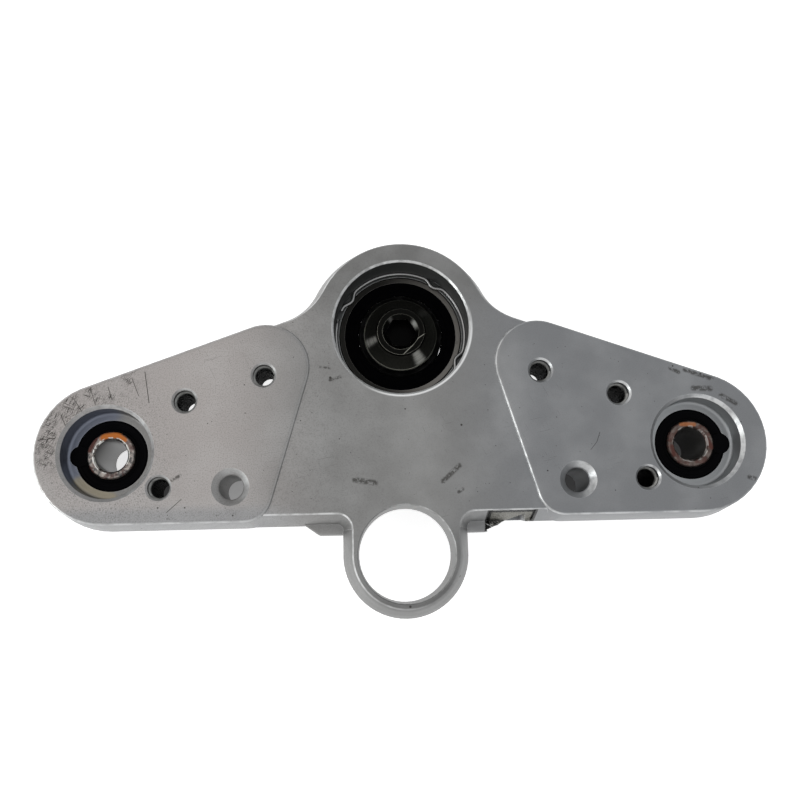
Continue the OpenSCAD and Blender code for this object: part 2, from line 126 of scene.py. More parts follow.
class Board:
    """Node tree of one material, built by short calls in millimetres.

    Args:
        name: name of the material.
    """

    def __init__(self, name: str) -> None:
        """Start with a Principled shader and the object's place in millimetres."""
        self.material = bpy.data.materials.new(name)
        self.material.use_nodes = True
        self.tree = self.material.node_tree
        self.shader = self.tree.nodes["Principled BSDF"]
        coordinates = self.node("ShaderNodeTexCoord")
        scaled = self.node("ShaderNodeVectorMath", operation="SCALE")
        self.tree.links.new(coordinates.outputs["Object"], scaled.inputs[0])
        scaled.inputs["Scale"].default_value = 1 / MM
        self.place = scaled.outputs[0]
        split = self.node("ShaderNodeSeparateXYZ")
        self.tree.links.new(self.place, split.inputs[0])
        self.x, self.y, self.z = split.outputs
        flat = self.node("ShaderNodeCombineXYZ")
        self.tree.links.new(self.x, flat.inputs[0])
        self.tree.links.new(self.y, flat.inputs[1])
        self.plan = flat.outputs[0]
        self.geometry = self.node("ShaderNodeNewGeometry")

    def node(self, kind: str, **settings: object) -> bpy.types.Node:
        """Add a node and set its properties.

        Args:
            kind: the node's type.
            settings: properties of the node.

        Returns:
            The new node.
        """
        made = self.tree.nodes.new(kind)
        for name, value in settings.items():
            setattr(made, name, value)
        return made

    def feed(self, target: Socket, value: Amount | Rgb) -> None:
        """Link a socket to a target, or set the target to a constant."""
        if isinstance(value, bpy.types.NodeSocket):
            self.tree.links.new(value, target)
        elif isinstance(value, tuple) and target.type == "RGBA":
            target.default_value = (*value, 1.0)
        else:
            target.default_value = value

    def math(self, operation: str, a: Amount, b: Amount = 0.0, clamp: bool = False) -> Socket:
        """Combine two values with one operation of the Math node.

        Args:
            operation: name of the operation.
            a: first value.
            b: second value.
            clamp: keep the result from 0 to 1.

        Returns:
            The result.
        """
        made = self.node("ShaderNodeMath", operation=operation, use_clamp=clamp)
        self.feed(made.inputs[0], a)
        self.feed(made.inputs[1], b)
        return made.outputs[0]

    def product(self, *values: Amount) -> Socket:
        """Multiply values together."""
        result = values[0]
        for value in values[1:]:
            result = self.math("MULTIPLY", result, value)
        return result

    def rest(self, mask: Amount) -> Socket:
        """What a mask leaves free."""
        return self.math("SUBTRACT", 1.0, mask)

    def either(self, *values: Amount) -> Socket:
        """Largest of several masks."""
        result = values[0]
        for value in values[1:]:
            result = self.math("MAXIMUM", result, value)
        return result

    def ramp(self, value: Amount, low: float, high: float, start: float = 0.0, end: float = 1.0) -> Socket:
        """Map a value smoothly from low..high to start..end.

        Args:
            value: what is mapped.
            low: value that gives start.
            high: value that gives end.
            start: result at low.
            end: result at high.

        Returns:
            The mapped value.
        """
        made = self.node("ShaderNodeMapRange", interpolation_type="SMOOTHSTEP")
        for socket, amount in zip(made.inputs[:5], (value, low, high, start, end)):
            self.feed(socket, amount)
        return made.outputs[0]

    def moved(self, stretch: tuple[float, float, float], turn: float = 0.0, shift: float = 0.0) -> Socket:
        """Place turned about Z and stretched, for a pattern with a direction.

        Args:
            stretch: factors along X, Y and Z after the turn.
            turn: angle about Z, in degrees.
            shift: distance that the pattern is moved along all three axes.

        Returns:
            The place's vector.
        """
        turned = self.node("ShaderNodeMapping")
        self.feed(turned.inputs["Vector"], self.place)
        turned.inputs["Rotation"].default_value = (0, 0, math.radians(turn))
        turned.inputs["Location"].default_value = (shift, shift, shift)
        scaled = self.node("ShaderNodeVectorMath", operation="MULTIPLY")
        self.feed(scaled.inputs[0], turned.outputs[0])
        scaled.inputs[1].default_value = stretch
        return scaled.outputs[0]

    def noise(
        self, size: float, detail: float = 2.0, rough: float = 0.5, place: Socket | None = None
    ) -> Socket:
        """Cloudy noise from 0 to 1.

        Args:
            size: width of a cloud, in millimetres.
            detail: number of finer layers.
            rough: weight of the finer layers.
            place: vector it is read at, or None for the object's place.

        Returns:
            The noise's value.
        """
        made = self.node("ShaderNodeTexNoise")
        self.feed(made.inputs["Vector"], self.place if place is None else place)
        made.inputs["Scale"].default_value = 1 / size
        made.inputs["Detail"].default_value = detail
        made.inputs["Roughness"].default_value = rough
        return made.outputs[0]

    def specks(self, spacing: float, radius: float, share: float, place: Socket | None = None) -> Socket:
        """Scattered round dots of uneven size.

        Args:
            spacing: mean distance between places where a dot may be, in millimetres.
            radius: radius of the largest dots, in millimetres.
            share: share of those places that have a dot.
            place: vector it is read at, or None for the object's place.

        Returns:
            Mask of the dots.
        """
        made = self.node("ShaderNodeTexVoronoi")
        self.feed(made.inputs["Vector"], self.place if place is None else place)
        made.inputs["Scale"].default_value = 1 / spacing
        split = self.node("ShaderNodeSeparateColor")
        self.feed(split.inputs[0], made.outputs["Color"])
        shown = self.math("LESS_THAN", split.outputs[0], share)
        limit = self.math("MULTIPLY", split.outputs[1], radius / spacing)
        edge = self.math("SUBTRACT", limit, made.outputs["Distance"])
        return self.product(self.ramp(edge, 0.0, 0.25 * radius / spacing), shown)

    def streaks(self, turn: float, length: float, width: float, level: float, shift: float = 0.0) -> Socket:
        """Thin straight scratches in one direction.

        Args:
            turn: direction of the scratches, in degrees.
            length: their length, in millimetres.
            width: their width, in millimetres.
            level: share of the noise that they are cut from; nearer 1 leaves fewer.
            shift: distance that the pattern is moved.

        Returns:
            Mask of the scratches.
        """
        fine = self.noise(1.0, 1.0, 0.4, self.moved((1 / length, 1 / width, 1 / length), turn, shift))
        return self.ramp(fine, level, level + 0.06)

    def stroke_gap(self, a: Point, b: Point) -> Socket:
        """Distance in plan from a straight line between two points, in millimetres."""
        along = Vector((b[0] - a[0], b[1] - a[1], 0.0))
        away = self.node("ShaderNodeVectorMath", operation="SUBTRACT")
        self.feed(away.inputs[0], self.plan)
        away.inputs[1].default_value = (a[0], a[1], 0.0)
        dot = self.node("ShaderNodeVectorMath", operation="DOT_PRODUCT")
        self.feed(dot.inputs[0], away.outputs[0])
        dot.inputs[1].default_value = along / along.length_squared
        share = self.math("MULTIPLY", dot.outputs["Value"], 1.0, clamp=True)
        nearest = self.node("ShaderNodeVectorMath", operation="SCALE")
        nearest.inputs[0].default_value = along
        self.feed(nearest.inputs["Scale"], share)
        gap = self.node("ShaderNodeVectorMath", operation="DISTANCE")
        self.feed(gap.inputs[0], away.outputs[0])
        self.feed(gap.inputs[1], nearest.outputs[0])
        return gap.outputs["Value"]

    def stroke(self, a: Point, b: Point, half_width: float) -> Socket:
        """One straight scratch or stain between two points in plan.

        Args:
            a: its first end.
            b: its second end.
            half_width: half of its width, in millimetres.

        Returns:
            Mask of the stroke.
        """
        return self.ramp(self.stroke_gap(a, b), half_width, 0.3 * half_width)

    def from_axis(self, centre: Point) -> Socket:
        """Distance from a vertical axis, in millimetres."""
        gap = self.node("ShaderNodeVectorMath", operation="DISTANCE")
        self.feed(gap.inputs[0], self.plan)
        gap.inputs[1].default_value = (*centre, 0.0)
        return gap.outputs["Value"]

    def within(self, value: Amount, low: float, high: float, soft: float) -> Socket:
        """Mask of the values between two limits, with soft ends."""
        return self.product(
            self.ramp(value, low - soft, low + soft), self.ramp(value, high + soft, high - soft)
        )

    def blend(self, base: Rgb | Socket, other: Rgb | Socket, share: Amount) -> Socket:
        """Mix two colours.

        Args:
            base: colour where the share is 0.
            other: colour where the share is 1.
            share: how much of the other colour there is.

        Returns:
            The mixed colour.
        """
        made = self.node("ShaderNodeMix", data_type="RGBA")
        self.feed(made.inputs[0], share)
        self.feed(made.inputs[6], base)
        self.feed(made.inputs[7], other)
        return made.outputs[2]

    def edges(self, radius: float) -> Socket:
        """Mask of the edges, where a rounding of that radius would turn the surface."""
        rounded = self.node("ShaderNodeBevel", samples=4)
        rounded.inputs["Radius"].default_value = radius * MM
        dot = self.node("ShaderNodeVectorMath", operation="DOT_PRODUCT")
        self.feed(dot.inputs[0], rounded.outputs[0])
        self.feed(dot.inputs[1], self.geometry.outputs["Normal"])
        return self.ramp(dot.outputs["Value"], 0.995, 0.93)

    def softened(self, radius: float) -> Socket:
        """Normal with every edge rounded a little."""
        rounded = self.node("ShaderNodeBevel", samples=4)
        rounded.inputs["Radius"].default_value = radius * MM
        return rounded.outputs[0]

    def bump(self, height: Amount, depth: float, normal: Socket | None = None) -> Socket:
        """Normal of a surface with a height pattern.

        Args:
            height: pattern from 0 to 1.
            depth: height of the pattern's full range, in millimetres.
            normal: normal that it is laid on, or None for the mesh's own.

        Returns:
            The new normal.
        """
        made = self.node("ShaderNodeBump")
        made.inputs["Distance"].default_value = depth * MM
        self.feed(made.inputs["Height"], height)
        if normal is not None:
            self.feed(made.inputs["Normal"], normal)
        return made.outputs[0]

    def finish(self, **inputs: Amount | Rgb) -> bpy.types.Material:
        """Feed the shader's inputs and hand over the material.

        Args:
            inputs: the shader's inputs, with underscores for spaces.

        Returns:
            The finished material.
        """
        for name, value in inputs.items():
            self.feed(self.shader.inputs[name.replace("_", " ")], value)
        return self.material


@dataclass(frozen=True)
class SatinForging:
    """Satin silver finish of the forged bridge, with its dirt, scratches and machined bores, and with
    painted light and shade: lighter and warmer on the left, round the ignition ring, in the fork eyes and
    the hub recess, and as edge highlights.
    """

    # Painted light: the left tone is lighter and warmer where the light falls, the right tone dimmer and
    # cooler.
    lit_left_tone: Rgb = (0.331, 0.312, 0.304)
    plain: Rgb = (0.196, 0.196, 0.193)
    dim_right_tone: Rgb = (0.188, 0.193, 0.200)
    dirt: Rgb = (0.035, 0.032, 0.028)
    # Bare metal, for random tone, flakes, worn edges and painted edge highlights.
    bare_metal_and_highlight: Rgb = (0.80, 0.81, 0.81)
    # Painted shade over grime on the wall of the hub's bearing recess.
    bore: Rgb = (0.083, 0.087, 0.087)
    eye_shade: Rgb = (0.155, 0.172, 0.219)
    # Painted light inside the right eye, and a painted lit khaki patch on the left eye's floor.
    lit_right_eye: Rgb = (0.29, 0.30, 0.308)
    eye_khaki_light: Rgb = (0.285, 0.255, 0.190)
    torn: Rgb = (0.172, 0.168, 0.148)
    rear_rim: Rgb = (0.250, 0.252, 0.258)
    # Black of the line round the torn patch.
    border_black: Rgb = (0.002, 0.002, 0.002)
    metal: float = 0.72
    roughness: float = 0.43
    # Direction of the light; edges that face it get stronger painted highlights.
    lit_side: tuple[float, float, float] = (-0.95, -0.30, 0.0)
    scratches: tuple[Stroke, ...] = (
        ((-93.2, -15.8), (-91.4, -27.2), 0.22),
        ((-106.2, -21.1), (-104.6, -25.9), 0.18),
        ((-130.2, -39.9), (-124.2, -39.3), 0.22),
        ((-84.2, -66.5), (-79.2, -62.0), 0.16),
        ((-97.8, -18.0), (-95.2, -24.5), 0.16),
        ((-118.0, -25.5), (-114.5, -31.0), 0.18),
        ((-122.5, -31.0), (-120.5, -35.5), 0.18),
        ((-112.5, -21.5), (-110.5, -27.5), 0.16),
        ((70.9, -41.1), (69.6, -44.6), 0.14),
        ((69.6, -44.6), (67.2, -47.4), 0.12),
    )
    stains: tuple[Stroke, ...] = (
        ((-18.0, -56.4), (-10.8, -57.6), 1.5),
        ((13.5, -57.5), (19.6, -52.0), 1.3),
        ((19.0, -61.5), (20.6, -60.4), 0.9),
        ((-26.5, -19.8), (-22.6, -18.6), 0.8),
        ((-30.0, -14.8), (-26.4, -15.4), 0.6),
        ((98.5, -17.8), (101.5, -19.4), 1.1),
        ((104.0, -18.6), (113.5, -22.0), 1.3),
        ((106.5, -25.5), (112.7, -25.8), 1.5),
        ((116.5, -28.4), (121.6, -31.4), 1.3),
        ((124.0, -58.5), (128.5, -60.0), 1.2),
        ((-82.6, -55.2), (-79.8, -53.6), 0.9),
    )

    tip_rim: Stroke = ((-126.5, -45.0), (-121.5, -29.0), 9.0)
    front_rim: Stroke = ((-121.5, -29.0), (-97.0, -18.5), 6.5)
    rear_grime: Stroke = ((-112.0, -67.6), (-62.0, -67.8), 3.4)
    eye_shadow: tuple[Stroke, ...] = (
        ((-121.0, -54.0), (-121.0, -38.0), 6.5), ((-121.0, -38.0), (-108.0, -29.5), 6.5)
    )
    # Band of the painted lit khaki patch in the left eye.
    eye_khaki_band: Stroke = ((-118.0, -54.5), (-106.5, -60.2), 3.2)

    def flaws(self, board: Board, strokes: tuple[Stroke, ...]) -> Socket:
        """Mask of a list of strokes, joined one by one to keep the shader small."""
        result = board.stroke(*strokes[0])
        for a, b, half in strokes[1:]:
            result = board.either(result, board.stroke(a, b, half))
        return result

    def dirt_mask(self, board: Board, up: Socket, grain: Socket, specks: Socket) -> Socket:
        """Mask of the dark hatching, specks, scratches, stains and grime.

        Args:
            board: the material's board.
            up: height of the surface's normal.
            grain: fine noise of the satin finish.
            specks: mask of the small pits.

        Returns:
            The mask.
        """
        top = board.ramp(up, 0.9, 0.99)
        eye_gap = board.from_axis((-PLAN.fork_x, PLAN.fork_y))
        tip = board.product(board.ramp(board.x, -66.0, -98.0), board.ramp(eye_gap, 46.0, 18.0))
        tip_clouds = board.ramp(board.noise(5.0, 2.0, 0.6), 0.36, 0.56)
        front_clouds = board.ramp(board.noise(6.0, 2.0, 0.6), 0.40, 0.60)
        rim = board.either(
            board.product(board.stroke(*self.tip_rim), tip_clouds),
            board.product(board.stroke(*self.front_rim), front_clouds),
        )
        hatch = board.either(
            board.streaks(-68.0, 3.2, 0.24, 0.56), board.streaks(20.0, 5.0, 0.2, 0.62, 31.0),
            board.streaks(-35.0, 3.6, 0.22, 0.60, 77.0),
        )
        grime = board.ramp(board.noise(2.6, 3.0, 0.7), 0.40, 0.62)
        rear_edge = board.product(board.stroke(*self.rear_grime), grime)
        grit = board.ramp(board.noise(0.55, 3.0, 0.75), 0.50, 0.66)
        gritty = board.product(board.either(board.product(tip, 0.8), rear_edge), grit)
        hairs = board.either(
            board.streaks(63.0, 9.0, 0.14, 0.72, 11.0), board.streaks(-12.0, 11.0, 0.14, 0.73, 53.0)
        )
        sparse = board.product(hairs, board.ramp(board.noise(30.0, 1.0), 0.5, 0.62))
        smudge = board.ramp(board.noise(1.3, 4.0, 0.75), 0.36, 0.55)
        smears = board.product(self.flaws(board, self.stains), smudge)
        on_top = board.either(
            board.product(hatch, rim, 0.95), board.product(gritty, 0.62), board.product(sparse, 0.7),
            board.product(self.flaws(board, self.scratches), 0.9), board.product(smears, 0.72),
        )
        sandy = board.product(
            board.ramp(grain, 0.42, 0.78, 0.0, 0.30), board.ramp(board.x, -60.0, 20.0, 1.0, 0.35)
        )
        return board.either(board.product(on_top, top), board.product(specks, 0.85), sandy)

    def eyes(self, board: Board, colour: Socket) -> Socket:
        """Paint light and shade into the fork eyes: the left eye dimmed to the plain tone with a painted
        shadow along its upper left and a painted lit khaki patch on its floor, and the right eye painted
        lighter.
        """
        left = board.from_axis((-PLAN.fork_x, PLAN.fork_y))
        deep = board.ramp(board.z, PLAN.pad_z - 1.0, PLAN.pad_z - 1.5)
        inside = board.product(board.ramp(left, PLAN.eye_r + 0.7, PLAN.eye_r + 0.4), deep)
        shade = self.flaws(board, self.eye_shadow)
        # Painted shade: the left eye's inside is dimmed to the plain tone, with a painted shadow of its
        # wall along the upper left.
        colour = board.blend(colour, self.plain, board.product(inside, 0.85))
        colour = board.blend(colour, self.eye_shade, board.product(inside, shade, 0.9))
        # Painted light: a lit khaki patch on the left eye's floor.
        film = board.product(inside, board.stroke(*self.eye_khaki_band), board.ramp(board.z, 27.6, 27.0))
        colour = board.blend(colour, self.eye_khaki_light, board.product(film, 0.9))
        # Painted light: the right eye's inside is lighter where its wall faces the light.
        right = board.from_axis((PLAN.fork_x, PLAN.fork_y))
        inside = board.product(board.ramp(right, PLAN.eye_r + 0.7, PLAN.eye_r + 0.4), deep)
        return board.blend(colour, self.lit_right_eye, board.product(inside, 0.9))

    def ring_light_fall(self, board: Board, low: float, high: float) -> Socket:
        """Painted light and shade round the ignition ring: a strength that falls from its lit upper left to
        its shaded foot, and is 1 elsewhere.

        Args:
            board: the material's board.
            low: strength at the ring's foot.
            high: strength at the ring's upper left.

        Returns:
            The strength.
        """
        gap = board.from_axis((0.0, PLAN.ring_y))
        ring = board.product(board.ramp(gap, 33.0, 32.0), board.ramp(board.y, -70.0, -74.0))
        down = board.product(board.math("SUBTRACT", board.y, PLAN.ring_y), 0.9)
        toward_light = board.math("ADD", board.product(board.x, -0.45), down)
        tone = board.product(board.ramp(toward_light, -22.0, 14.0, low, high), ring)
        return board.math("ADD", tone, board.rest(ring))

    def patch(self, board: Board) -> Socket:
        """Mask of the torn patch on the rear wall beside the right stop."""
        return board.product(
            board.within(board.x, 29.9, 46.9, 0.15), board.within(board.z, 21.8, 33.1, 0.15),
            board.ramp(board.y, -66.0, -66.6),
        )

    def build(self) -> bpy.types.Material:
        """Make the bridge's material."""
        board = Board("satin_forging")
        split = board.node("ShaderNodeSeparateXYZ")
        board.feed(split.inputs[0], board.geometry.outputs["Normal"])
        up = split.outputs[2]
        clouds = board.noise(22.0, 3.0, 0.55)
        grain = board.noise(0.45, 2.0, 0.6)
        hub_gap = board.from_axis((0.0, 0.0))
        # Painted light: lighter and warmer on the left, the plain tone on walls that face away, dimmer and
        # cooler to the right.
        from_left = board.either(board.ramp(board.x, -72.0, -22.0), board.ramp(up, 0.9, 0.6, 0.0, 0.85))
        colour = board.blend(self.lit_left_tone, self.plain, from_left)
        colour = board.blend(colour, self.dim_right_tone, board.ramp(board.x, 5.0, 50.0))
        rim = board.product(board.ramp(board.y, -63.0, -67.5), board.ramp(board.x, -30.0, -60.0), 0.85)
        colour = board.blend(colour, self.rear_rim, rim)
        hub_top = board.product(
            board.ramp(hub_gap, 37.0, 33.0), board.ramp(board.z, 33.0, 33.6), board.ramp(board.y, 2.0, 20.0)
        )
        colour = board.blend(colour, tuple(0.74 * c for c in self.plain), hub_top)
        # Painted light and shade: the colour is scaled round the ignition ring, lighter at its upper left
        # and darker at its foot.
        shaded = board.node("ShaderNodeVectorMath", operation="SCALE")
        board.feed(shaded.inputs[0], colour)
        board.feed(shaded.inputs["Scale"], self.ring_light_fall(board, 0.62, 1.10))
        colour = shaded.outputs[0]
        colour = board.blend(colour, self.bare_metal_and_highlight, board.ramp(clouds, 0.35, 0.75, 0.0, 0.10))
        specks = board.either(
            board.specks(3.4, 0.36, 0.34), board.specks(9.0, 0.66, 0.36), board.specks(1.5, 0.18, 0.26)
        )
        dark = self.dirt_mask(board, up, grain, specks)
        colour = board.blend(colour, self.dirt, dark)
        colour = self.eyes(board, colour)
        torn = self.patch(board)
        crumple = board.noise(1.3, 4.0, 0.7)
        colour = board.blend(colour, self.torn, board.product(torn, 0.9))
        colour = board.blend(colour, self.dirt, board.product(torn, board.ramp(crumple, 0.52, 0.66), 0.25))
        ragged = board.math("ADD", board.z, board.product(board.math("SUBTRACT", crumple, 0.5), 3.0))
        # A black line borders the torn patch at its left, right and top, with the crushed foot below.
        border = board.either(
            board.within(board.x, 29.2, 31.1, 0.15), board.within(board.x, 45.9, 47.4, 0.15),
            board.within(ragged, 29.9, 31.7, 0.15),
        )
        near = board.product(board.within(board.x, 29.2, 47.4, 0.1), board.ramp(board.y, -65.8, -66.4))
        border = board.product(border, near, board.within(board.z, 20.0, 33.5, 0.1))
        crushed = board.product(
            board.within(board.x, 29.6, 36.0, 1.0), board.ramp(board.y, -70.4, -71.2),
            board.ramp(crumple, 0.42, 0.56),
        )
        border = board.either(border, board.product(crushed, torn, 0.8))
        colour = board.blend(colour, self.border_black, border)
        flakes = board.product(
            board.streaks(40.0, 2.4, 0.4, 0.54), board.within(board.x, 29.6, 37.0, 0.4),
            board.ramp(board.y, -71.0, -72.0), board.ramp(board.z, 24.5, 23.8),
        )
        colour = board.blend(colour, self.bare_metal_and_highlight, board.product(flakes, 0.55))
        # Painted shade over grime: the wall of the hub's bearing recess is darkened.
        bore = board.product(
            board.ramp(hub_gap, PLAN.recess_r + 0.9, PLAN.recess_r + 0.6),
            board.ramp(board.z, PLAN.middle_z - 0.55, PLAN.middle_z - 0.75),
        )
        colour = board.blend(colour, self.bore, bore)
        # Patchy edge wear together with painted highlights: bevels, edges facing the light and the hub
        # recess's lower right lip are laid in bare metal.
        patchy = board.ramp(board.noise(4.0, 3.0, 0.6), 0.30, 0.62, 0.35, 1.0)
        facing = board.node("ShaderNodeVectorMath", operation="DOT_PRODUCT")
        board.feed(facing.inputs[0], board.geometry.outputs["Normal"])
        facing.inputs[1].default_value = self.lit_side
        lit_facing = board.ramp(facing.outputs["Value"], -0.30, 0.60, 0.12, 1.0)
        lit_facing = board.either(lit_facing, board.product(board.ramp(hub_gap, 28.0, 27.5), 0.9))
        bevel = board.product(board.within(up, 0.42, 0.90, 0.05), board.ramp(board.z, 32.9, 33.2), patchy)
        wear_and_highlight = board.either(board.product(bevel, 0.62), board.product(board.edges(0.4), patchy, 0.55))
        wear_and_highlight = board.product(wear_and_highlight, lit_facing, board.rest(border), self.ring_light_fall(board, 0.35, 1.0))
        # Painted highlight on the lower right lip of the hub recess.
        aside = board.math("SUBTRACT", board.product(board.x, 0.6), board.product(board.y, 0.8))
        lip = board.product(
            board.within(hub_gap, PLAN.recess_r, PLAN.recess_r + 1.3, 0.25), board.ramp(aside, 6.0, 20.0),
            board.ramp(board.z, 33.0, 33.3),
        )
        wear_and_highlight = board.either(wear_and_highlight, board.product(lip, 0.75))
        colour = board.blend(colour, self.bare_metal_and_highlight, wear_and_highlight)
        uneven = board.product(board.math("SUBTRACT", clouds, 0.5), 0.2)
        roughness = board.math("ADD", self.roughness, uneven)
        roughness = board.math("ADD", roughness, board.product(dark, 0.3))
        roughness = board.math("SUBTRACT", roughness, board.product(wear_and_highlight, 0.14), clamp=True)
        height = board.math("SUBTRACT", board.product(grain, 0.30), specks)
        normal = board.bump(height, 0.05, board.softened(0.22))
        normal = board.bump(board.product(crumple, torn), 0.9, normal)
        return board.finish(Base_Color=colour, Metallic=self.metal, Roughness=roughness, Normal=normal)


@dataclass(frozen=True)
class BushRubber:
    """Matte black rubber with a film of dust and fine pores."""

    black: Rgb = (0.0028, 0.0028, 0.0034)
    dust: Rgb = (0.009, 0.008, 0.008)
    roughness: float = 0.7

    def build(self) -> bpy.types.Material:
        """Make the rubber's material."""
        board = Board("bush_rubber")
        film = board.product(board.ramp(board.noise(2.4, 4.0, 0.7), 0.52, 0.8), 0.35)
        pores = board.specks(0.8, 0.16, 0.4)
        colour = board.blend(self.black, self.dust, film)
        roughness = board.math("ADD", self.roughness, board.product(film, 0.6), clamp=True)
        height = board.math("SUBTRACT", board.noise(0.6, 3.0, 0.6), pores)
        return board.finish(
            Base_Color=colour, Roughness=roughness, Specular_IOR_Level=0.02, Normal=board.bump(height, 0.03)
        )


@dataclass(frozen=True)
class RustedSteel:
    """Plated steel with orange and dark brown rust over bright, bruised metal."""

    plate: Rgb = (0.30, 0.27, 0.25)
    # Painted shade inside the sleeve's bore.
    inside: Rgb = (0.075, 0.073, 0.070)
    # Bare metal of the chamfer's facets, also used for painted glints.
    bright: Rgb = (0.85, 0.84, 0.80)
    bore_r: float = 5.9
    mouth_z: float = 26.8
    orange: Rgb = (0.55, 0.16, 0.02)
    brown: Rgb = (0.085, 0.018, 0.010)
    pits: Rgb = (0.07, 0.07, 0.07)
    right_plate: Rgb = (0.075, 0.050, 0.042)
    left_orange: tuple[Stroke, ...] = (
        ((-109.2, -38.2), (-104.2, -37.4), 2.2), ((-104.2, -37.4), (-101.8, -39.2), 1.4)
    )
    right_orange: Stroke = ((103.5, -37.6), (108.4, -37.8), 1.1)
    red_marks: tuple[Stroke, ...] = (
        ((-114.3, -43.0), (-112.2, -38.5), 1.3), ((-114.6, -49.0), (-113.0, -51.0), 1.0),
        ((99.4, -46.0), (100.0, -49.0), 1.2), ((112.8, -43.5), (114.2, -46.6), 1.3),
    )

    def build(self) -> bpy.types.Material:
        """Make the sleeves' material."""
        board = Board("rusted_steel")
        mottle = board.noise(1.6, 4.0, 0.68)
        brown = board.ramp(board.noise(3.0, 4.0, 0.65, board.moved(grey(1.0), 0.0, 17.0)), 0.5, 0.6)
        gap = board.math(
            "MINIMUM", *[board.from_axis((side.value * PLAN.fork_x, PLAN.fork_y)) for side in Side]
        )
        on_top = board.product(
            board.ramp(gap, self.bore_r + 0.35, self.bore_r + 0.6), board.ramp(board.z, 26.6, 26.9)
        )
        left = board.either(*[board.stroke(*mark) for mark in self.left_orange])
        right = board.product(board.stroke(*self.right_orange), 0.5)
        patch = board.product(board.either(left, right), board.ramp(mottle, 0.24, 0.36), on_top)
        colour = board.blend(self.plate, self.pits, board.ramp(mottle, 0.40, 0.62))
        colour = board.blend(colour, self.right_plate, board.ramp(board.x, -10.0, 10.0, 0.0, 0.72))
        red = board.either(*[board.stroke(*mark) for mark in self.red_marks])
        brown = board.either(board.product(brown, 0.55), red)
        colour = board.blend(colour, self.brown, board.product(brown, 0.9))
        colour = board.blend(colour, self.orange, patch)
        # Bare facets on the bore's chamfer, with painted glints that are stronger on the left where the
        # light falls.
        facets_and_glints = board.product(
            board.ramp(gap, self.bore_r + 1.0, self.bore_r + 0.7),
            board.ramp(board.z, self.mouth_z, self.mouth_z + 0.1),
            board.ramp(board.noise(2.6, 2.0, 0.5), 0.46, 0.56),
            board.ramp(board.x, -10.0, 10.0, 1.0, 0.4),
        )
        colour = board.blend(colour, self.bright, facets_and_glints)
        # Painted shade: the sleeve's bore is darkened below its mouth.
        bore = board.product(
            board.ramp(gap, self.bore_r + 0.3, self.bore_r + 0.15),
            board.ramp(board.z, self.mouth_z, self.mouth_z - 0.2),
        )
        colour = board.blend(colour, self.inside, bore)
        rust = board.product(board.either(board.product(brown, 0.9), patch), board.rest(bore))
        roughness = board.ramp(rust, 0.0, 1.0, 0.28, 0.75)
        metallic = board.math(
            "MINIMUM", board.ramp(rust, 0.0, 1.0, 0.95, 0.1), board.ramp(bore, 0.0, 1.0, 1.0, 0.3)
        )
        height = board.math("ADD", mottle, board.product(rust, 0.5))
        normal = board.bump(board.product(height, board.rest(bore)), 0.25)
        return board.finish(Base_Color=colour, Metallic=metallic, Roughness=roughness, Normal=normal)


@dataclass(frozen=True)
class TurnedSteel:
    """Steel with turning marks round the vertical axis, under some grime.

    Attributes:
        name: name of the material.
        steel: colour of the clean metal.
        grime: colour of the dirt on it.
        dirty: share of the surface under dirt, from 0 to 1.
        roughness: roughness of the clean metal.
        darker_left: how strongly the left side is darkened to the grime's colour, from 0 to 1.
    """

    name: str
    steel: Rgb
    grime: Rgb
    dirty: float
    roughness: float
    darker_left: float = 0.0

    def build(self) -> bpy.types.Material:
        """Make the material."""
        board = Board(self.name)
        radius = board.from_axis((0.0, 0.0))
        rings = board.node("ShaderNodeCombineXYZ")
        board.feed(rings.inputs[0], radius)
        board.feed(rings.inputs[2], board.z)
        lathe = board.noise(0.12, 2.0, 0.5, rings.outputs[0])
        film = board.ramp(board.noise(4.0, 4.0, 0.65), 0.75 - self.dirty * 0.6, 0.9 - self.dirty * 0.5)
        # Darker on the left side, by the given strength.
        film = board.either(film, board.product(board.ramp(board.x, 14.0, -10.0), self.darker_left))
        dust = board.specks(1.6, 0.16, 0.25)
        colour = board.blend(self.steel, self.grime, film)
        pale_dust = tuple(min(1.0, 2.2 * c + 0.02) for c in self.grime)
        colour = board.blend(colour, pale_dust, board.product(dust, 0.5))
        roughness = board.math("ADD", self.roughness, board.product(film, 0.25), clamp=True)
        bright_edge = tuple(min(1.0, 1.8 * c + 0.04) for c in self.steel)
        colour = board.blend(colour, bright_edge, board.product(board.edges(0.25), 0.5))
        normal = board.bump(lathe, 0.012, board.softened(0.12))
        return board.finish(Base_Color=colour, Metallic=0.92, Roughness=roughness, Normal=normal)


@dataclass(frozen=True)
class WornThread:
    """Bare thread that is bright at its mouth and darkened below by painted shade deep in the hole."""

    mouth: Rgb = (0.30, 0.30, 0.29)
    deep_shade: Rgb = (0.0012, 0.0012, 0.0012)
    lit_depth: float = 5.0

    def build(self) -> bpy.types.Material:
        """Make the threads' material."""
        board = Board("worn_thread")
        # Painted shade: the thread darkens with depth below a ragged line.
        shade_line = board.math("ADD", board.z, board.product(board.noise(2.0, 2.0, 0.5), 3.0))
        share = board.ramp(shade_line, PLAN.pad_z + 1.0, PLAN.pad_z + 1.0 - self.lit_depth)
        return board.finish(
            Base_Color=board.blend(self.mouth, self.deep_shade, share),
            Metallic=board.ramp(share, 0.0, 1.0, 0.9, 0.98),
            Roughness=board.ramp(share, 0.0, 1.0, 0.25, 0.5),
        )


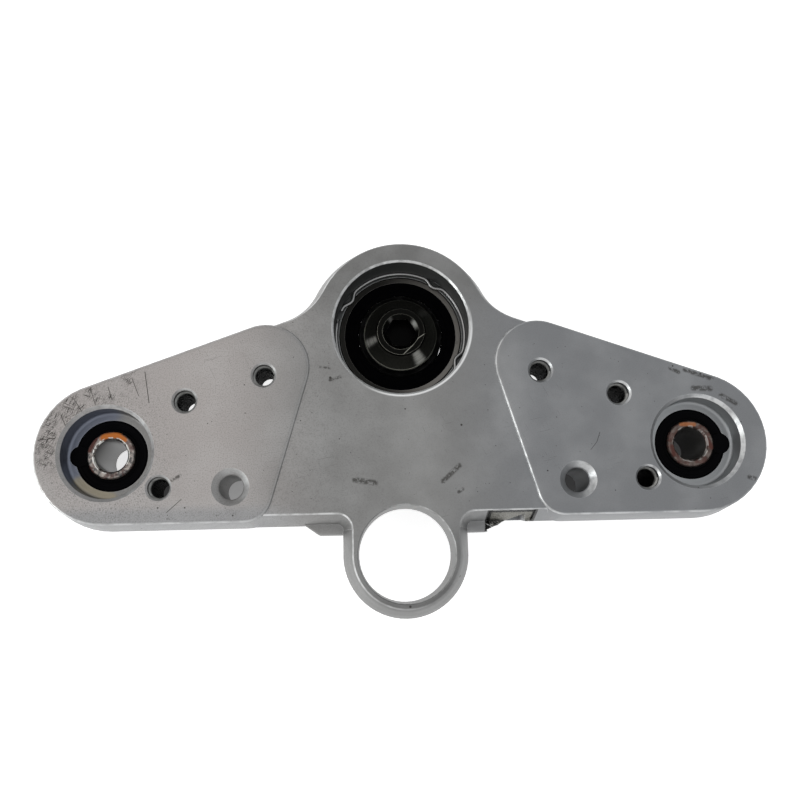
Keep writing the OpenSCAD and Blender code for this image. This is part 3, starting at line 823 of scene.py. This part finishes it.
@dataclass(frozen=True)
class BlackOxide:
    """Blackened steel of the bolt: painted highlight fans on its cone and in its socket's mouth, rims
    painted lighter towards the lower left, a curled scratch and painted shade in its socket.
    """

    black: Rgb = (0.0028, 0.0028, 0.0024)
    cone: Rgb = (0.052, 0.052, 0.045)
    # Colour of the painted highlight fans.
    polish: Rgb = (0.60, 0.60, 0.56)
    # Colour of the rims' painted highlights and of the scratch.
    edge: Rgb = (0.30, 0.30, 0.26)
    # Painted shade inside the hex socket.
    socket: Rgb = (0.0006, 0.0006, 0.0006)
    head_r: float = 9.3
    foot_r: float = 13.6
    socket_r: float = 5.95
    mouth_z: float = 24.9
    dust: Rgb = (0.06, 0.06, 0.06)
    # Painted highlight fans: direction, half width and strength of each.
    highlight_fans: tuple[tuple[float, float, float], ...] = (
        (195.0, 11.0, 0.46), (305.0, 13.0, 0.85), (42.0, 11.0, 0.10)
    )
    mouth_highlight_fans: tuple[tuple[float, float, float], ...] = ((27.0, 22.0, 0.34), (128.0, 11.0, 0.16))
    scratch: tuple[Point, ...] = ((9.9, -0.4), (6.6, -2.6), (4.5, -5.3), (1.0, -8.6))

    def fan(self, board: Board, gap: Socket, turn: float, width: float) -> Socket:
        """Mask of a painted highlight fan that opens outwards from the bolt's axis.

        Args:
            board: the material's board.
            gap: distance from the axis.
            turn: direction of the fan, in degrees.
            width: half of its width, in fiftieths of the distance from the axis.

        Returns:
            The mask.
        """
        reach = 20.0
        tip = (reach * math.cos(math.radians(turn)), reach * math.sin(math.radians(turn)))
        away = board.stroke_gap((0.0, 0.0), tip)
        return board.ramp(board.math("DIVIDE", away, board.product(gap, 0.02 * width)), 1.0, 0.1)

    def build(self) -> bpy.types.Material:
        """Make the bolt's material."""
        board = Board("black_oxide")
        gap = board.from_axis((0.0, 0.0))
        rings = board.node("ShaderNodeCombineXYZ")
        board.feed(rings.inputs[0], gap)
        board.feed(rings.inputs[2], board.z)
        lathe = board.noise(0.14, 2.0, 0.6, rings.outputs[0])
        slope = board.within(gap, self.head_r + 0.2, self.foot_r - 0.1, 0.25)
        colour = board.blend(self.black, self.cone, slope)
        mouth = board.product(
            board.within(gap, 5.4, 6.8, 0.15), board.ramp(board.z, self.mouth_z, self.mouth_z + 0.3)
        )
        # Painted highlights, in fans on the cone and in the socket's mouth.
        turned = board.ramp(lathe, 0.35, 0.65, 0.45, 1.0)
        highlighted: Amount = 0.0
        for place, highlight_fans in ((slope, self.highlight_fans), (mouth, self.mouth_highlight_fans)):
            for turn, width, share in highlight_fans:
                fan = board.product(self.fan(board, gap, turn, width), place, turned, share)
                colour = board.blend(colour, self.polish, fan)
                highlighted = board.either(highlighted, fan)
        marks = board.either(*[board.stroke(a, b, 0.16) for a, b in zip(self.scratch, self.scratch[1:])])
        # Rims painted lighter towards the lower left, where the light falls; the scratch is real wear.
        toward_light = board.math("ADD", board.product(board.x, -0.6), board.product(board.y, -0.8))
        rims = board.either(board.edges(0.2), board.within(gap, self.foot_r, self.foot_r + 0.2, 0.08))
        rims = board.product(rims, board.ramp(toward_light, -10.0, 8.0, 0.25, 1.0))
        wear_and_highlight = board.either(rims, board.product(marks, board.ramp(board.z, 26.0, 26.3), 0.8))
        colour = board.blend(colour, self.edge, wear_and_highlight)
        # Painted shade: the hex socket is darkened below its mouth.
        socket_shade = board.product(
            board.ramp(gap, self.socket_r + 0.1, self.socket_r - 0.1),
            board.ramp(board.z, self.mouth_z + 0.2, self.mouth_z - 0.6),
        )
        colour = board.blend(colour, self.socket, socket_shade)
        dust = board.product(board.specks(1.8, 0.13, 0.2), board.rest(socket_shade))
        colour = board.blend(colour, self.dust, board.product(dust, 0.6))
        normal = board.bump(lathe, 0.02, board.softened(0.12))
        return board.finish(
            Base_Color=colour, Metallic=board.ramp(highlighted, 0.0, 0.4, 0.96, 0.1),
            Roughness=board.either(
                board.ramp(slope, 0.0, 1.0, 0.34, 0.24), board.ramp(gap, 13.7, 13.9, 0.0, 0.6)
            ),
            Normal=normal,
        )


@dataclass(frozen=True)
class SealRubber:
    """Satin black bearing seal with pale specks of grit and a grease film."""

    black: Rgb = (0.0008, 0.0008, 0.0012)
    grit: Rgb = (0.07, 0.06, 0.13)

    def build(self) -> bpy.types.Material:
        """Make the seals' material."""
        board = Board("seal_rubber")
        grit = board.product(board.specks(1.7, 0.26, 0.4), board.stroke((18.6, 6.5), (20.6, -2.0), 2.2))
        film = board.noise(3.0, 3.0, 0.6)
        colour = board.blend(self.black, self.grit, grit)
        roughness = board.ramp(film, 0.3, 0.7, 0.60, 0.85)
        return board.finish(
            Base_Color=colour, Roughness=roughness, Specular_IOR_Level=0.012, Normal=board.bump(film, 0.04)
        )


@dataclass(frozen=True)
class CagePlastic:
    """Brown nylon of the bearing's cage under a film of grease."""

    nylon: Rgb = (0.30, 0.20, 0.09)

    def build(self) -> bpy.types.Material:
        """Make the cage's material."""
        board = Board("cage_plastic")
        mottle = board.noise(1.2, 3.0, 0.6)
        colour = board.blend(self.nylon, tuple(0.55 * c for c in self.nylon), board.ramp(mottle, 0.35, 0.7))
        return board.finish(Base_Color=colour, Roughness=board.ramp(mottle, 0.3, 0.7, 0.22, 0.5))


class Finishes:
    """Every finish of the bridge, made once and shared by its pieces."""

    def __init__(self) -> None:
        """Build all the materials."""
        self.forging = SatinForging().build()
        self.rubber = BushRubber().build()
        self.rust = RustedSteel().build()
        self.outer_race = TurnedSteel(
            "outer_race_steel", (0.12, 0.114, 0.106), (0.010, 0.010, 0.009), 0.2, 0.35, 0.92
        ).build()
        self.inner_race = TurnedSteel("inner_race_steel", grey(0.006), grey(0.002), 0.6, 0.75).build()
        self.thread = WornThread().build()
        self.balls = TurnedSteel("ball_steel", grey(0.62), (0.05, 0.04, 0.02), 0.15, 0.08).build()
        self.wire = TurnedSteel("spring_steel", grey(0.24), (0.05, 0.048, 0.044), 0.25, 0.18).build()
        self.bolt = BlackOxide().build()
        self.seal = SealRubber().build()
        self.cage = CagePlastic().build()


class Bench:
    """Modelling moves that the sub-assemblies share."""

    @staticmethod
    def only(piece: bpy.types.Object) -> None:
        """Select one piece alone and make it active."""
        bpy.ops.object.select_all(action="DESELECT")
        piece.select_set(True)
        bpy.context.view_layer.objects.active = piece

    @classmethod
    def apply(cls, piece: bpy.types.Object, kind: str, **settings: object) -> None:
        """Add a modifier to a piece and apply it.

        Args:
            piece: the piece that is changed.
            kind: the modifier's type.
            settings: the modifier's properties.
        """
        cls.only(piece)
        made = piece.modifiers.new(kind.lower(), kind)
        for name, value in settings.items():
            setattr(made, name, value)
        bpy.ops.object.modifier_apply(modifier=made.name)

    @classmethod
    def smooth(cls, piece: bpy.types.Object, degrees: float = 32.0) -> None:
        """Shade a piece smooth where its faces meet at less than an angle."""
        cls.only(piece)
        bpy.ops.object.shade_smooth_by_angle(angle=math.radians(degrees))

    @classmethod
    def cad_copy(cls, frame: dict, node: str, name: str) -> bpy.types.Object:
        """Copy a solid's mesh into a new piece, with its loose triangles joined at their corners.

        Args:
            frame: the loaded frame.
            node: name of the solid.
            name: name of the new piece.

        Returns:
            The new piece, at the origin.
        """
        piece = bpy.data.objects.new(name, frame["nodes"][node].data.copy())
        bpy.context.scene.collection.objects.link(piece)
        piece.data.materials.clear()
        cls.only(piece)
        bpy.ops.object.mode_set(mode="EDIT")
        bpy.ops.mesh.select_all(action="SELECT")
        bpy.ops.mesh.remove_doubles(threshold=2e-6)
        bpy.ops.mesh.customdata_custom_splitnormals_clear()
        bpy.ops.object.mode_set(mode="OBJECT")
        return piece

    @classmethod
    def outline(
        cls, name: str, points: list[Point], closed: bool, rounding: float = 0.0
    ) -> bpy.types.Object:
        """Draw a wire of (radius, height) points in the XZ plane, in millimetres.

        Args:
            name: name of the piece.
            points: the corners.
            closed: join the last corner to the first.
            rounding: how far each corner is cut back to round it, or 0.

        Returns:
            The wire.
        """
        bpy.ops.object.select_all(action="DESELECT")
        bpy.ops.mesh.primitive_plane_add(size=MM)
        piece = bpy.context.active_object
        piece.name = name
        piece.data.name = name
        bpy.ops.object.mode_set(mode="EDIT")
        bpy.ops.mesh.select_all(action="SELECT")
        bpy.ops.mesh.merge(type="CENTER")
        at = [Vector((r, 0.0, z)) * MM for r, z in points]
        bpy.ops.transform.translate(value=at[0])
        for before, after in zip(at, at[1:]):
            bpy.ops.mesh.extrude_vertices_move(TRANSFORM_OT_translate={"value": after - before})
        bpy.ops.mesh.select_all(action="SELECT")
        if closed:
            bpy.ops.mesh.select_all(action="DESELECT")
            bpy.ops.object.mode_set(mode="OBJECT")
            last = len(piece.data.vertices) - 1
            piece.data.vertices[0].select = True
            piece.data.vertices[last].select = True
            bpy.ops.object.mode_set(mode="EDIT")
            bpy.ops.mesh.edge_face_add()
            bpy.ops.mesh.select_all(action="SELECT")
        if rounding:
            bpy.ops.mesh.bevel(offset=rounding * MM, segments=3, affect="VERTICES")
        bpy.ops.object.mode_set(mode="OBJECT")
        return piece

    @classmethod
    def turned(
        cls, name: str, points: list[Point], centre: Point = (0.0, 0.0), rounding: float = 0.15,
        steps: int = 120,
    ) -> bpy.types.Object:
        """Turn a closed outline round a vertical axis.

        Args:
            name: name of the piece.
            points: corners as (radius, height), in millimetres.
            centre: place of the axis in plan, in millimetres.
            rounding: how far each corner is cut back to round it.
            steps: number of faces round the piece.

        Returns:
            The turned piece, with its faces outwards.
        """
        piece = cls.outline(name, points, True, rounding)
        cls.only(piece)
        bpy.ops.object.mode_set(mode="EDIT")
        bpy.ops.mesh.select_all(action="SELECT")
        bpy.ops.mesh.spin(steps=steps, angle=2 * math.pi, center=(0, 0, 0), axis=(0, 0, 1))
        bpy.ops.mesh.select_all(action="SELECT")
        bpy.ops.mesh.remove_doubles(threshold=1e-6)
        bpy.ops.mesh.normals_make_consistent(inside=False)
        bpy.ops.transform.translate(value=(centre[0] * MM, centre[1] * MM, 0.0))
        bpy.ops.object.mode_set(mode="OBJECT")
        cls.smooth(piece, 40.0)
        return piece

    @classmethod
    def wire(cls, name: str, path: list[Vector], radius: float) -> bpy.types.Object:
        """Bend a round wire along a path, in millimetres.

        Args:
            name: name of the piece.
            path: points of the wire's centre line.
            radius: the wire's radius.

        Returns:
            The wire as a closed mesh.
        """
        piece = cls.outline(name, [(p.x, p.z) for p in path], False)
        for vertex, point in zip(piece.data.vertices, path):
            vertex.co = point * MM
        cls.only(piece)
        bpy.ops.object.convert(target="CURVE")
        piece.data.bevel_depth = radius * MM
        piece.data.bevel_resolution = 3
        piece.data.use_fill_caps = True
        bpy.ops.object.convert(target="MESH")
        bpy.ops.object.mode_set(mode="EDIT")
        bpy.ops.mesh.select_all(action="SELECT")
        bpy.ops.mesh.remove_doubles(threshold=1e-6)
        bpy.ops.mesh.normals_make_consistent(inside=False)
        bpy.ops.object.mode_set(mode="OBJECT")
        cls.smooth(piece, 50.0)
        return piece

    @classmethod
    def copied(
        cls, piece: bpy.types.Object, name: str, shift: tuple[float, float, float]
    ) -> bpy.types.Object:
        """Copy a piece with its own mesh and move it, in millimetres."""
        twin = bpy.data.objects.new(name, piece.data.copy())
        bpy.context.scene.collection.objects.link(twin)
        twin.data.transform(Matrix.Translation(Vector(shift) * MM))
        return twin

    @staticmethod
    def dress(
        piece: bpy.types.Object, material: bpy.types.Material, slot: str, body: Body, *replaced: str
    ) -> None:
        """Give a piece its finish, its body and the solids that it stands for.

        Args:
            piece: the piece.
            material: its finish.
            slot: the record's material slot of that finish; not used.
            body: the body that it rides on.
            replaced: names of the solids that it stands for.
        """
        piece.data.materials.clear()
        piece.data.materials.append(material)
        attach(piece, body.value)
        if replaced:
            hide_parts(*replaced)
        LOG.info("%s has %d faces", piece.name, len(piece.data.polygons))


@dataclass
class ForkBridge:
    """The forged bridge: its skin, and the threads in its handlebar holes."""

    frame: dict
    finishes: Finishes
    thread_root_r: float = 4.05
    thread_crest_r: float = 3.4
    thread_pitch: float = 1.25
    thread_steps: int = 40

    def skin(self) -> bpy.types.Object:
        """Make the visible skin from the solid's own form."""
        piece = Bench.cad_copy(self.frame, "fork_bridge", "bridge_skin")
        Bench.smooth(piece, 28.0)
        return piece

    def thread(self) -> bpy.types.Object:
        """Cut one internal thread as a helical ridge, on the origin's axis."""
        flat = 0.12 * self.thread_pitch
        wide = 0.46 * self.thread_pitch
        foot = PLAN.plate_z + wide
        ridge = [
            (self.thread_root_r, foot - wide), (self.thread_crest_r, foot - flat),
            (self.thread_crest_r, foot + flat), (self.thread_root_r, foot + wide),
        ]
        piece = Bench.outline("thread", ridge, True)
        turns = int((PLAN.pad_z - 0.9 - PLAN.plate_z) / self.thread_pitch) - 1
        Bench.apply(
            piece, "SCREW", angle=2 * math.pi, screw_offset=self.thread_pitch * MM, iterations=turns,
            steps=self.thread_steps, render_steps=self.thread_steps, use_merge_vertices=True,
            use_smooth_shade=False,
        )
        Bench.only(piece)
        bpy.ops.object.mode_set(mode="EDIT")
        bpy.ops.mesh.select_all(action="SELECT")
        bpy.ops.mesh.normals_make_consistent(inside=False)
        bpy.ops.object.mode_set(mode="OBJECT")
        Bench.smooth(piece, 35.0)
        return piece

    def build(self) -> None:
        """Build and dress the skin and the six threads."""
        skin = self.skin()
        Bench.dress(skin, self.finishes.forging, "forged_aluminium", Body.BRIDGE, "fork_bridge")
        master = self.thread()
        for side in Side:
            for number, (x, y) in enumerate(PLAN.thread_holes, 1):
                piece = Bench.copied(master, f"thread_{side.word}_{number}", (side.value * x, y, 0.0))
                Bench.dress(piece, self.finishes.thread, "forged_aluminium", Body.BRIDGE)
        bpy.data.objects.remove(master)


@dataclass
class ForkBush:
    """A rubber bush and its steel sleeve in one fork eye."""

    side: Side
    finishes: Finishes
    rubber_r: float = 13.08
    sleeve_r: float = 8.75
    bore_r: float = 5.9
    foot_z: float = 2.52
    lug_r: float = 3.88
    lug_out: float = 11.3
    lug_h: float = 6.0
    sleeve_rise: float = 1.2

    @property
    def centre(self) -> Point:
        """Place of the fork axis in plan."""
        return (self.side.value * PLAN.fork_x, PLAN.fork_y)

    def rubber(self) -> bpy.types.Object:
        """Turn the rubber with a dished top and join its locating lug."""
        top = PLAN.eye_floor_z - 0.02
        inner = self.sleeve_r + 0.02
        outline = [
            (inner, self.foot_z), (self.rubber_r, self.foot_z), (self.rubber_r, top - 0.6),
            (self.rubber_r - 0.6, top), (self.rubber_r - 1.2, top), (self.rubber_r - 1.8, top - 0.6),
            (inner + 1.3, top - 0.6), (inner + 0.7, top - 0.1), (inner, top - 0.1),
        ]
        ring = Bench.turned(f"bush_rubber_{self.side.word}_skin", outline, self.centre, 0.2)
        lug_x = self.centre[0] + self.side.value * self.lug_out
        lug_foot = top - self.lug_h
        lug_outline = [(0.0, lug_foot), (self.lug_r, lug_foot), (self.lug_r, top), (0.0, top)]
        lug = Bench.turned("lug", lug_outline, (lug_x, self.centre[1]), 0.0, 48)
        Bench.apply(
            lug, "BEVEL", width=0.5 * MM, segments=3, limit_method="ANGLE", angle_limit=math.radians(60)
        )
        Bench.apply(ring, "BOOLEAN", operation="UNION", solver="EXACT", object=lug)
        bpy.data.objects.remove(lug)
        Bench.smooth(ring, 40.0)
        return ring

    def sleeve(self) -> bpy.types.Object:
        """Turn the sleeve."""
        top = PLAN.eye_floor_z - 0.02 + self.sleeve_rise
        outline = [
            (self.bore_r, 0.0), (self.sleeve_r - 0.5, 0.0), (self.sleeve_r, 0.5),
            (self.sleeve_r, top - 0.5),
            (self.sleeve_r - 0.5, top), (self.sleeve_r - 1.4, top), (self.bore_r + 0.7, top),
            (self.bore_r, top - 0.9),
        ]
        return Bench.turned(f"bush_sleeve_{self.side.word}_skin", outline, self.centre, 0.12)

    def build(self) -> None:
        """Build and dress the bush."""
        word = self.side.word
        Bench.dress(self.rubber(), self.finishes.rubber, "bush_rubber", Body.BRIDGE, f"bush_rubber_{word}")
        Bench.dress(self.sleeve(), self.finishes.rust, "rusted_steel", Body.BRIDGE, f"bush_sleeve_{word}")


@dataclass
class HubBearing:
    """The sealed ball bearing and the wire ring that keeps it in the hub."""

    frame: dict
    finishes: Finishes
    outer_r: float = 23.48
    outer_in_r: float = 21.3
    inner_out_r: float = 15.9
    wire_r: float = 0.75
    wire_seat_r: float = 24.7
    bend_depth: float = 1.7
    bends: tuple[float, ...] = (143.0, 56.0, 335.0)
    bend_half: float = 10.0
    gap_at: float = 160.0
    gap_half: float = 4.0

    def seal(self, name: str, z: float, up: int) -> bpy.types.Object:
        """Turn a seal with a lip at its bore and a raised ring, facing up or down."""
        inner, outer = self.inner_out_r + 0.3, self.outer_in_r - 0.02
        low, high = z - 0.4 * up, z + 0.4 * up
        outline = [
            (inner, low), (outer, low), (outer, high), (outer - 0.5, high), (outer - 0.8, high - 0.18 * up),
            (inner + 1.9, high - 0.18 * up), (inner + 1.6, high), (inner + 0.9, high),
            (inner, high - 0.35 * up),
        ]
        return Bench.turned(name, outline, rounding=0.06)

    def wire_path(self) -> list[Vector]:
        """Centre line of the wire ring with its inward bends."""
        points = []
        steps = 216
        for i in range(steps + 1):
            angle = self.gap_at + self.gap_half + (360 - 2 * self.gap_half) * i / steps
            near = min(abs((angle - b + 180) % 360 - 180) for b in self.bends)
            bent = (1 + math.cos(math.pi * near / self.bend_half)) / 2 if near < self.bend_half else 0.0
            r = self.wire_seat_r - self.bend_depth * bent
            a = math.radians(angle)
            points.append(Vector((r * math.cos(a), r * math.sin(a), PLAN.bearing_z + self.wire_r + 0.05)))
        return points

    def build(self) -> None:
        """Build and dress the bearing's pieces."""
        nodes = self.frame["nodes"]
        kept = (
            ("bearing_outer_race", self.finishes.outer_race),
            ("bearing_inner_race", self.finishes.inner_race),
            ("bearing_balls", self.finishes.balls), ("bearing_cage", self.finishes.cage),
        )
        for node, finish in kept:
            nodes[node].data.materials.clear()
            nodes[node].data.materials.append(finish)
        inset = 0.7
        upper = self.seal("seal_upper_skin", PLAN.bearing_z - inset, 1)
        lower = self.seal("seal_lower_skin", PLAN.bearing_foot_z + inset, -1)
        Bench.dress(upper, self.finishes.seal, "seal_rubber", Body.BRIDGE, "bearing_seal_upper")
        Bench.dress(lower, self.finishes.seal, "seal_rubber", Body.BRIDGE, "bearing_seal_lower")
        ring = Bench.wire("retaining_ring_skin", self.wire_path(), self.wire_r)
        Bench.dress(ring, self.finishes.wire, "spring_steel", Body.BRIDGE, "bearing_retaining_ring")


@dataclass
class PivotBolt:
    """The black flanged bolt in the bearing."""

    finishes: Finishes
    flange_r: float = 14.0
    flange_t: float = 1.5
    head_h: float = 6.6
    head_top_r: float = 9.3
    neck_r: float = 12.48
    shank_r: float = 10.0
    shank_end_z: float = 1.2
    socket_af: float = 10.2
    socket_mouth_r: float = 6.9
    socket_depth: float = 7.0

    def build(self) -> None:
        """Build and dress the bolt."""
        base = PLAN.bearing_z
        top = base + self.head_h
        cone_r = self.flange_r - 0.3
        outline = [
            (0.0, self.shank_end_z), (self.shank_r - 0.8, self.shank_end_z),
            (self.shank_r, self.shank_end_z + 0.8),
            (self.shank_r, PLAN.bearing_foot_z), (self.neck_r, PLAN.bearing_foot_z), (self.neck_r, base),
            (self.flange_r, base), (self.flange_r, base + self.flange_t),
            (cone_r, base + self.flange_t + 0.1),
            (self.head_top_r, top - 0.4), (self.head_top_r - 0.4, top), (0.0, top),
        ]
        piece = Bench.turned("pivot_bolt_skin", outline, rounding=0.0, steps=144)
        hex_r = self.socket_af / 2 / math.cos(math.pi / 6)
        bpy.ops.object.select_all(action="DESELECT")
        depth = self.socket_depth + 2
        bpy.ops.mesh.primitive_cylinder_add(
            vertices=6, radius=hex_r * MM, depth=depth * MM,
            location=(0, 0, (top - self.socket_depth + depth / 2) * MM), rotation=(0, 0, math.radians(30)),
        )
        cutter = bpy.context.active_object
        Bench.apply(piece, "BOOLEAN", operation="DIFFERENCE", solver="EXACT", object=cutter)
        bpy.data.objects.remove(cutter)
        bpy.ops.object.select_all(action="DESELECT")
        over = 0.5
        mouth = self.socket_mouth_r - self.socket_af / 2 + over
        bpy.ops.mesh.primitive_cone_add(
            vertices=96, radius1=self.socket_af / 2 * MM, radius2=(self.socket_mouth_r + over) * MM,
            depth=mouth * MM, location=(0, 0, (top + over - mouth / 2) * MM),
        )
        cutter = bpy.context.active_object
        Bench.apply(piece, "BOOLEAN", operation="DIFFERENCE", solver="EXACT", object=cutter)
        bpy.data.objects.remove(cutter)
        Bench.smooth(piece, 30.0)
        Bench.dress(piece, self.finishes.bolt, "black_oxide_steel", Body.PIVOT, "pivot_bolt")


@dataclass(frozen=True)
class Studio:
    """The photograph's viewpoint, plain light and a white floor."""

    eye: tuple[float, float, float] = (-11.42, -86.78, 348.09)
    sight: tuple[float, float, float] = (0.03203, 0.18483, -0.98225)
    down: tuple[float, float, float] = (-0.019, -0.98246, -0.18549)
    focal_px: float = 879.4
    image_px: float = 800.0
    sensor: float = 36.0
    bright_side: tuple[float, float, float] = (-0.95, -0.28, -0.10)
    dark_level: float = 0.42
    bright_level: float = 1.0
    dark_tint: Rgb = (0.965, 0.985, 1.0)
    bright_tint: Rgb = (1.0, 0.985, 0.975)
    floor_glow: float = 0.72
    shades: tuple[tuple[Point, Point, float, float], ...] = (
        ((-66.0, -55.0), (-96.0, -55.4), 16.0, 0.72), ((-94.0, -55.4), (-97.0, -55.4), 11.0, 0.97),
        ((66.0, -55.4), (97.0, -55.4), 16.0, 0.97), ((97.0, -55.4), (112.6, -42.3), 14.0, 0.95),
    )

    def camera(self) -> None:
        """Set the camera where the photograph was taken."""
        data = bpy.data.cameras.new("photo_camera")
        data.sensor_width = self.sensor
        data.sensor_fit = "HORIZONTAL"
        data.lens = self.sensor * self.focal_px / self.image_px
        data.clip_start = 0.01
        back = -Vector(self.sight).normalized()
        side = (-Vector(self.down)).cross(back).normalized()
        up = back.cross(side)
        turn = Matrix((side, up, back)).transposed().to_4x4()
        camera = bpy.data.objects.new("photo_camera", data)
        camera.matrix_world = Matrix.Translation(Vector(self.eye) * MM) @ turn
        bpy.context.scene.collection.objects.link(camera)
        bpy.context.scene.camera = camera

    def lamp(
        self, name: str, place: tuple[float, float, float], size: float, power: float, tint: Rgb
    ) -> None:
        """Hang a square soft lamp that faces the bridge.

        Args:
            name: name of the lamp.
            place: its place, in metres.
            size: width of its face, in metres.
            power: its power, in watts.
            tint: colour of its light.
        """
        data = bpy.data.lights.new(name, "AREA")
        data.size = size
        data.energy = power
        data.color = tint
        lamp = bpy.data.objects.new(name, data)
        lamp.location = place
        aim = Vector((0.0, -0.03, 0.03)) - Vector(place)
        lamp.rotation_euler = aim.to_track_quat("-Z", "Y").to_euler()
        bpy.context.scene.collection.objects.link(lamp)

    def sky(self) -> None:
        """Fill the world with plain light, brighter on the left, and white to the camera and in metal."""
        world = bpy.data.worlds.new("studio")
        world.use_nodes = True
        bpy.context.scene.world = world
        tree = world.node_tree
        background = tree.nodes["Background"]
        path = tree.nodes.new("ShaderNodeLightPath")
        coordinates = tree.nodes.new("ShaderNodeTexCoord")
        bright = tree.nodes.new("ShaderNodeVectorMath")
        bright.operation = "DOT_PRODUCT"
        tree.links.new(coordinates.outputs["Generated"], bright.inputs[0])
        bright.inputs[1].default_value = self.bright_side
        share = tree.nodes.new("ShaderNodeMapRange")
        tree.links.new(bright.outputs["Value"], share.inputs[0])
        share.inputs[1].default_value = -1.0
        level = tree.nodes.new("ShaderNodeMapRange")
        tree.links.new(share.outputs[0], level.inputs[0])
        level.inputs[3].default_value = self.dark_level
        level.inputs[4].default_value = self.bright_level
        seen = tree.nodes.new("ShaderNodeMix")
        shown = path.outputs["Is Camera Ray"]
        for ray in ("Is Glossy Ray", "Is Transmission Ray"):
            more = tree.nodes.new("ShaderNodeMath")
            more.operation = "MAXIMUM"
            tree.links.new(shown, more.inputs[0])
            tree.links.new(path.outputs[ray], more.inputs[1])
            shown = more.outputs[0]
        tree.links.new(shown, seen.inputs[0])
        tree.links.new(level.outputs[0], seen.inputs[2])
        tint = tree.nodes.new("ShaderNodeMix")
        tint.data_type = "RGBA"
        tree.links.new(share.outputs[0], tint.inputs[0])
        tint.inputs[6].default_value = (*self.dark_tint, 1.0)
        tint.inputs[7].default_value = (*self.bright_tint, 1.0)
        tree.links.new(tint.outputs[2], background.inputs["Color"])
        seen.inputs[3].default_value = 1.0
        tree.links.new(seen.outputs[0], background.inputs["Strength"])

    def floor(self) -> None:
        """Lay a pale floor that shows white, takes the shadow and is dark close under the wings."""
        bpy.ops.object.select_all(action="DESELECT")
        bpy.ops.mesh.primitive_plane_add(size=3.0)
        floor = bpy.context.active_object
        floor.name = "studio_floor"
        board = Board("studio_floor")
        shaded = board.either(*[
            board.product(board.stroke(a, b, half), depth) for a, b, half, depth in self.shades
        ])
        path = board.node("ShaderNodeLightPath")
        rays = ("Is Camera Ray", "Is Glossy Ray", "Is Transmission Ray")
        shown = board.either(*[path.outputs[ray] for ray in rays])
        glow = board.product(shown, self.floor_glow, board.rest(shaded))
        material = board.finish(
            Base_Color=board.blend(grey(0.9), grey(0.04), shaded), Roughness=0.9, Emission_Color=grey(1.0),
            Emission_Strength=glow,
        )
        floor.data.materials.append(material)

    def build(self) -> None:
        """Set up the light and the floor."""
        bpy.context.scene.view_settings.view_transform = "Standard"
        self.sky()
        self.floor()
        self.lamp("overhead", (-0.32, 0.22, 0.95), 0.55, 0.62, (1.0, 0.95, 0.90))
        self.lamp("window", (-0.92, -0.36, 0.36), 0.35, 2.1, (0.96, 1.0, 1.0))
        self.lamp("doorway", (0.25, -0.95, 0.40), 0.40, 0.45, (0.96, 0.98, 1.0))


def main() -> None:
    """Load the frame, set the camera, then build and dress every sub-assembly."""
    logging.basicConfig(level=logging.INFO, format="%(message)s")
    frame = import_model()
    studio = Studio()
    studio.camera()
    studio.build()
    finishes = Finishes()
    ForkBridge(frame, finishes).build()
    for side in Side:
        ForkBush(side, finishes).build()
    HubBearing(frame, finishes).build()
    PivotBolt(finishes).build()
    bpy.context.view_layer.update()


if __name__ == "__main__":
    main()
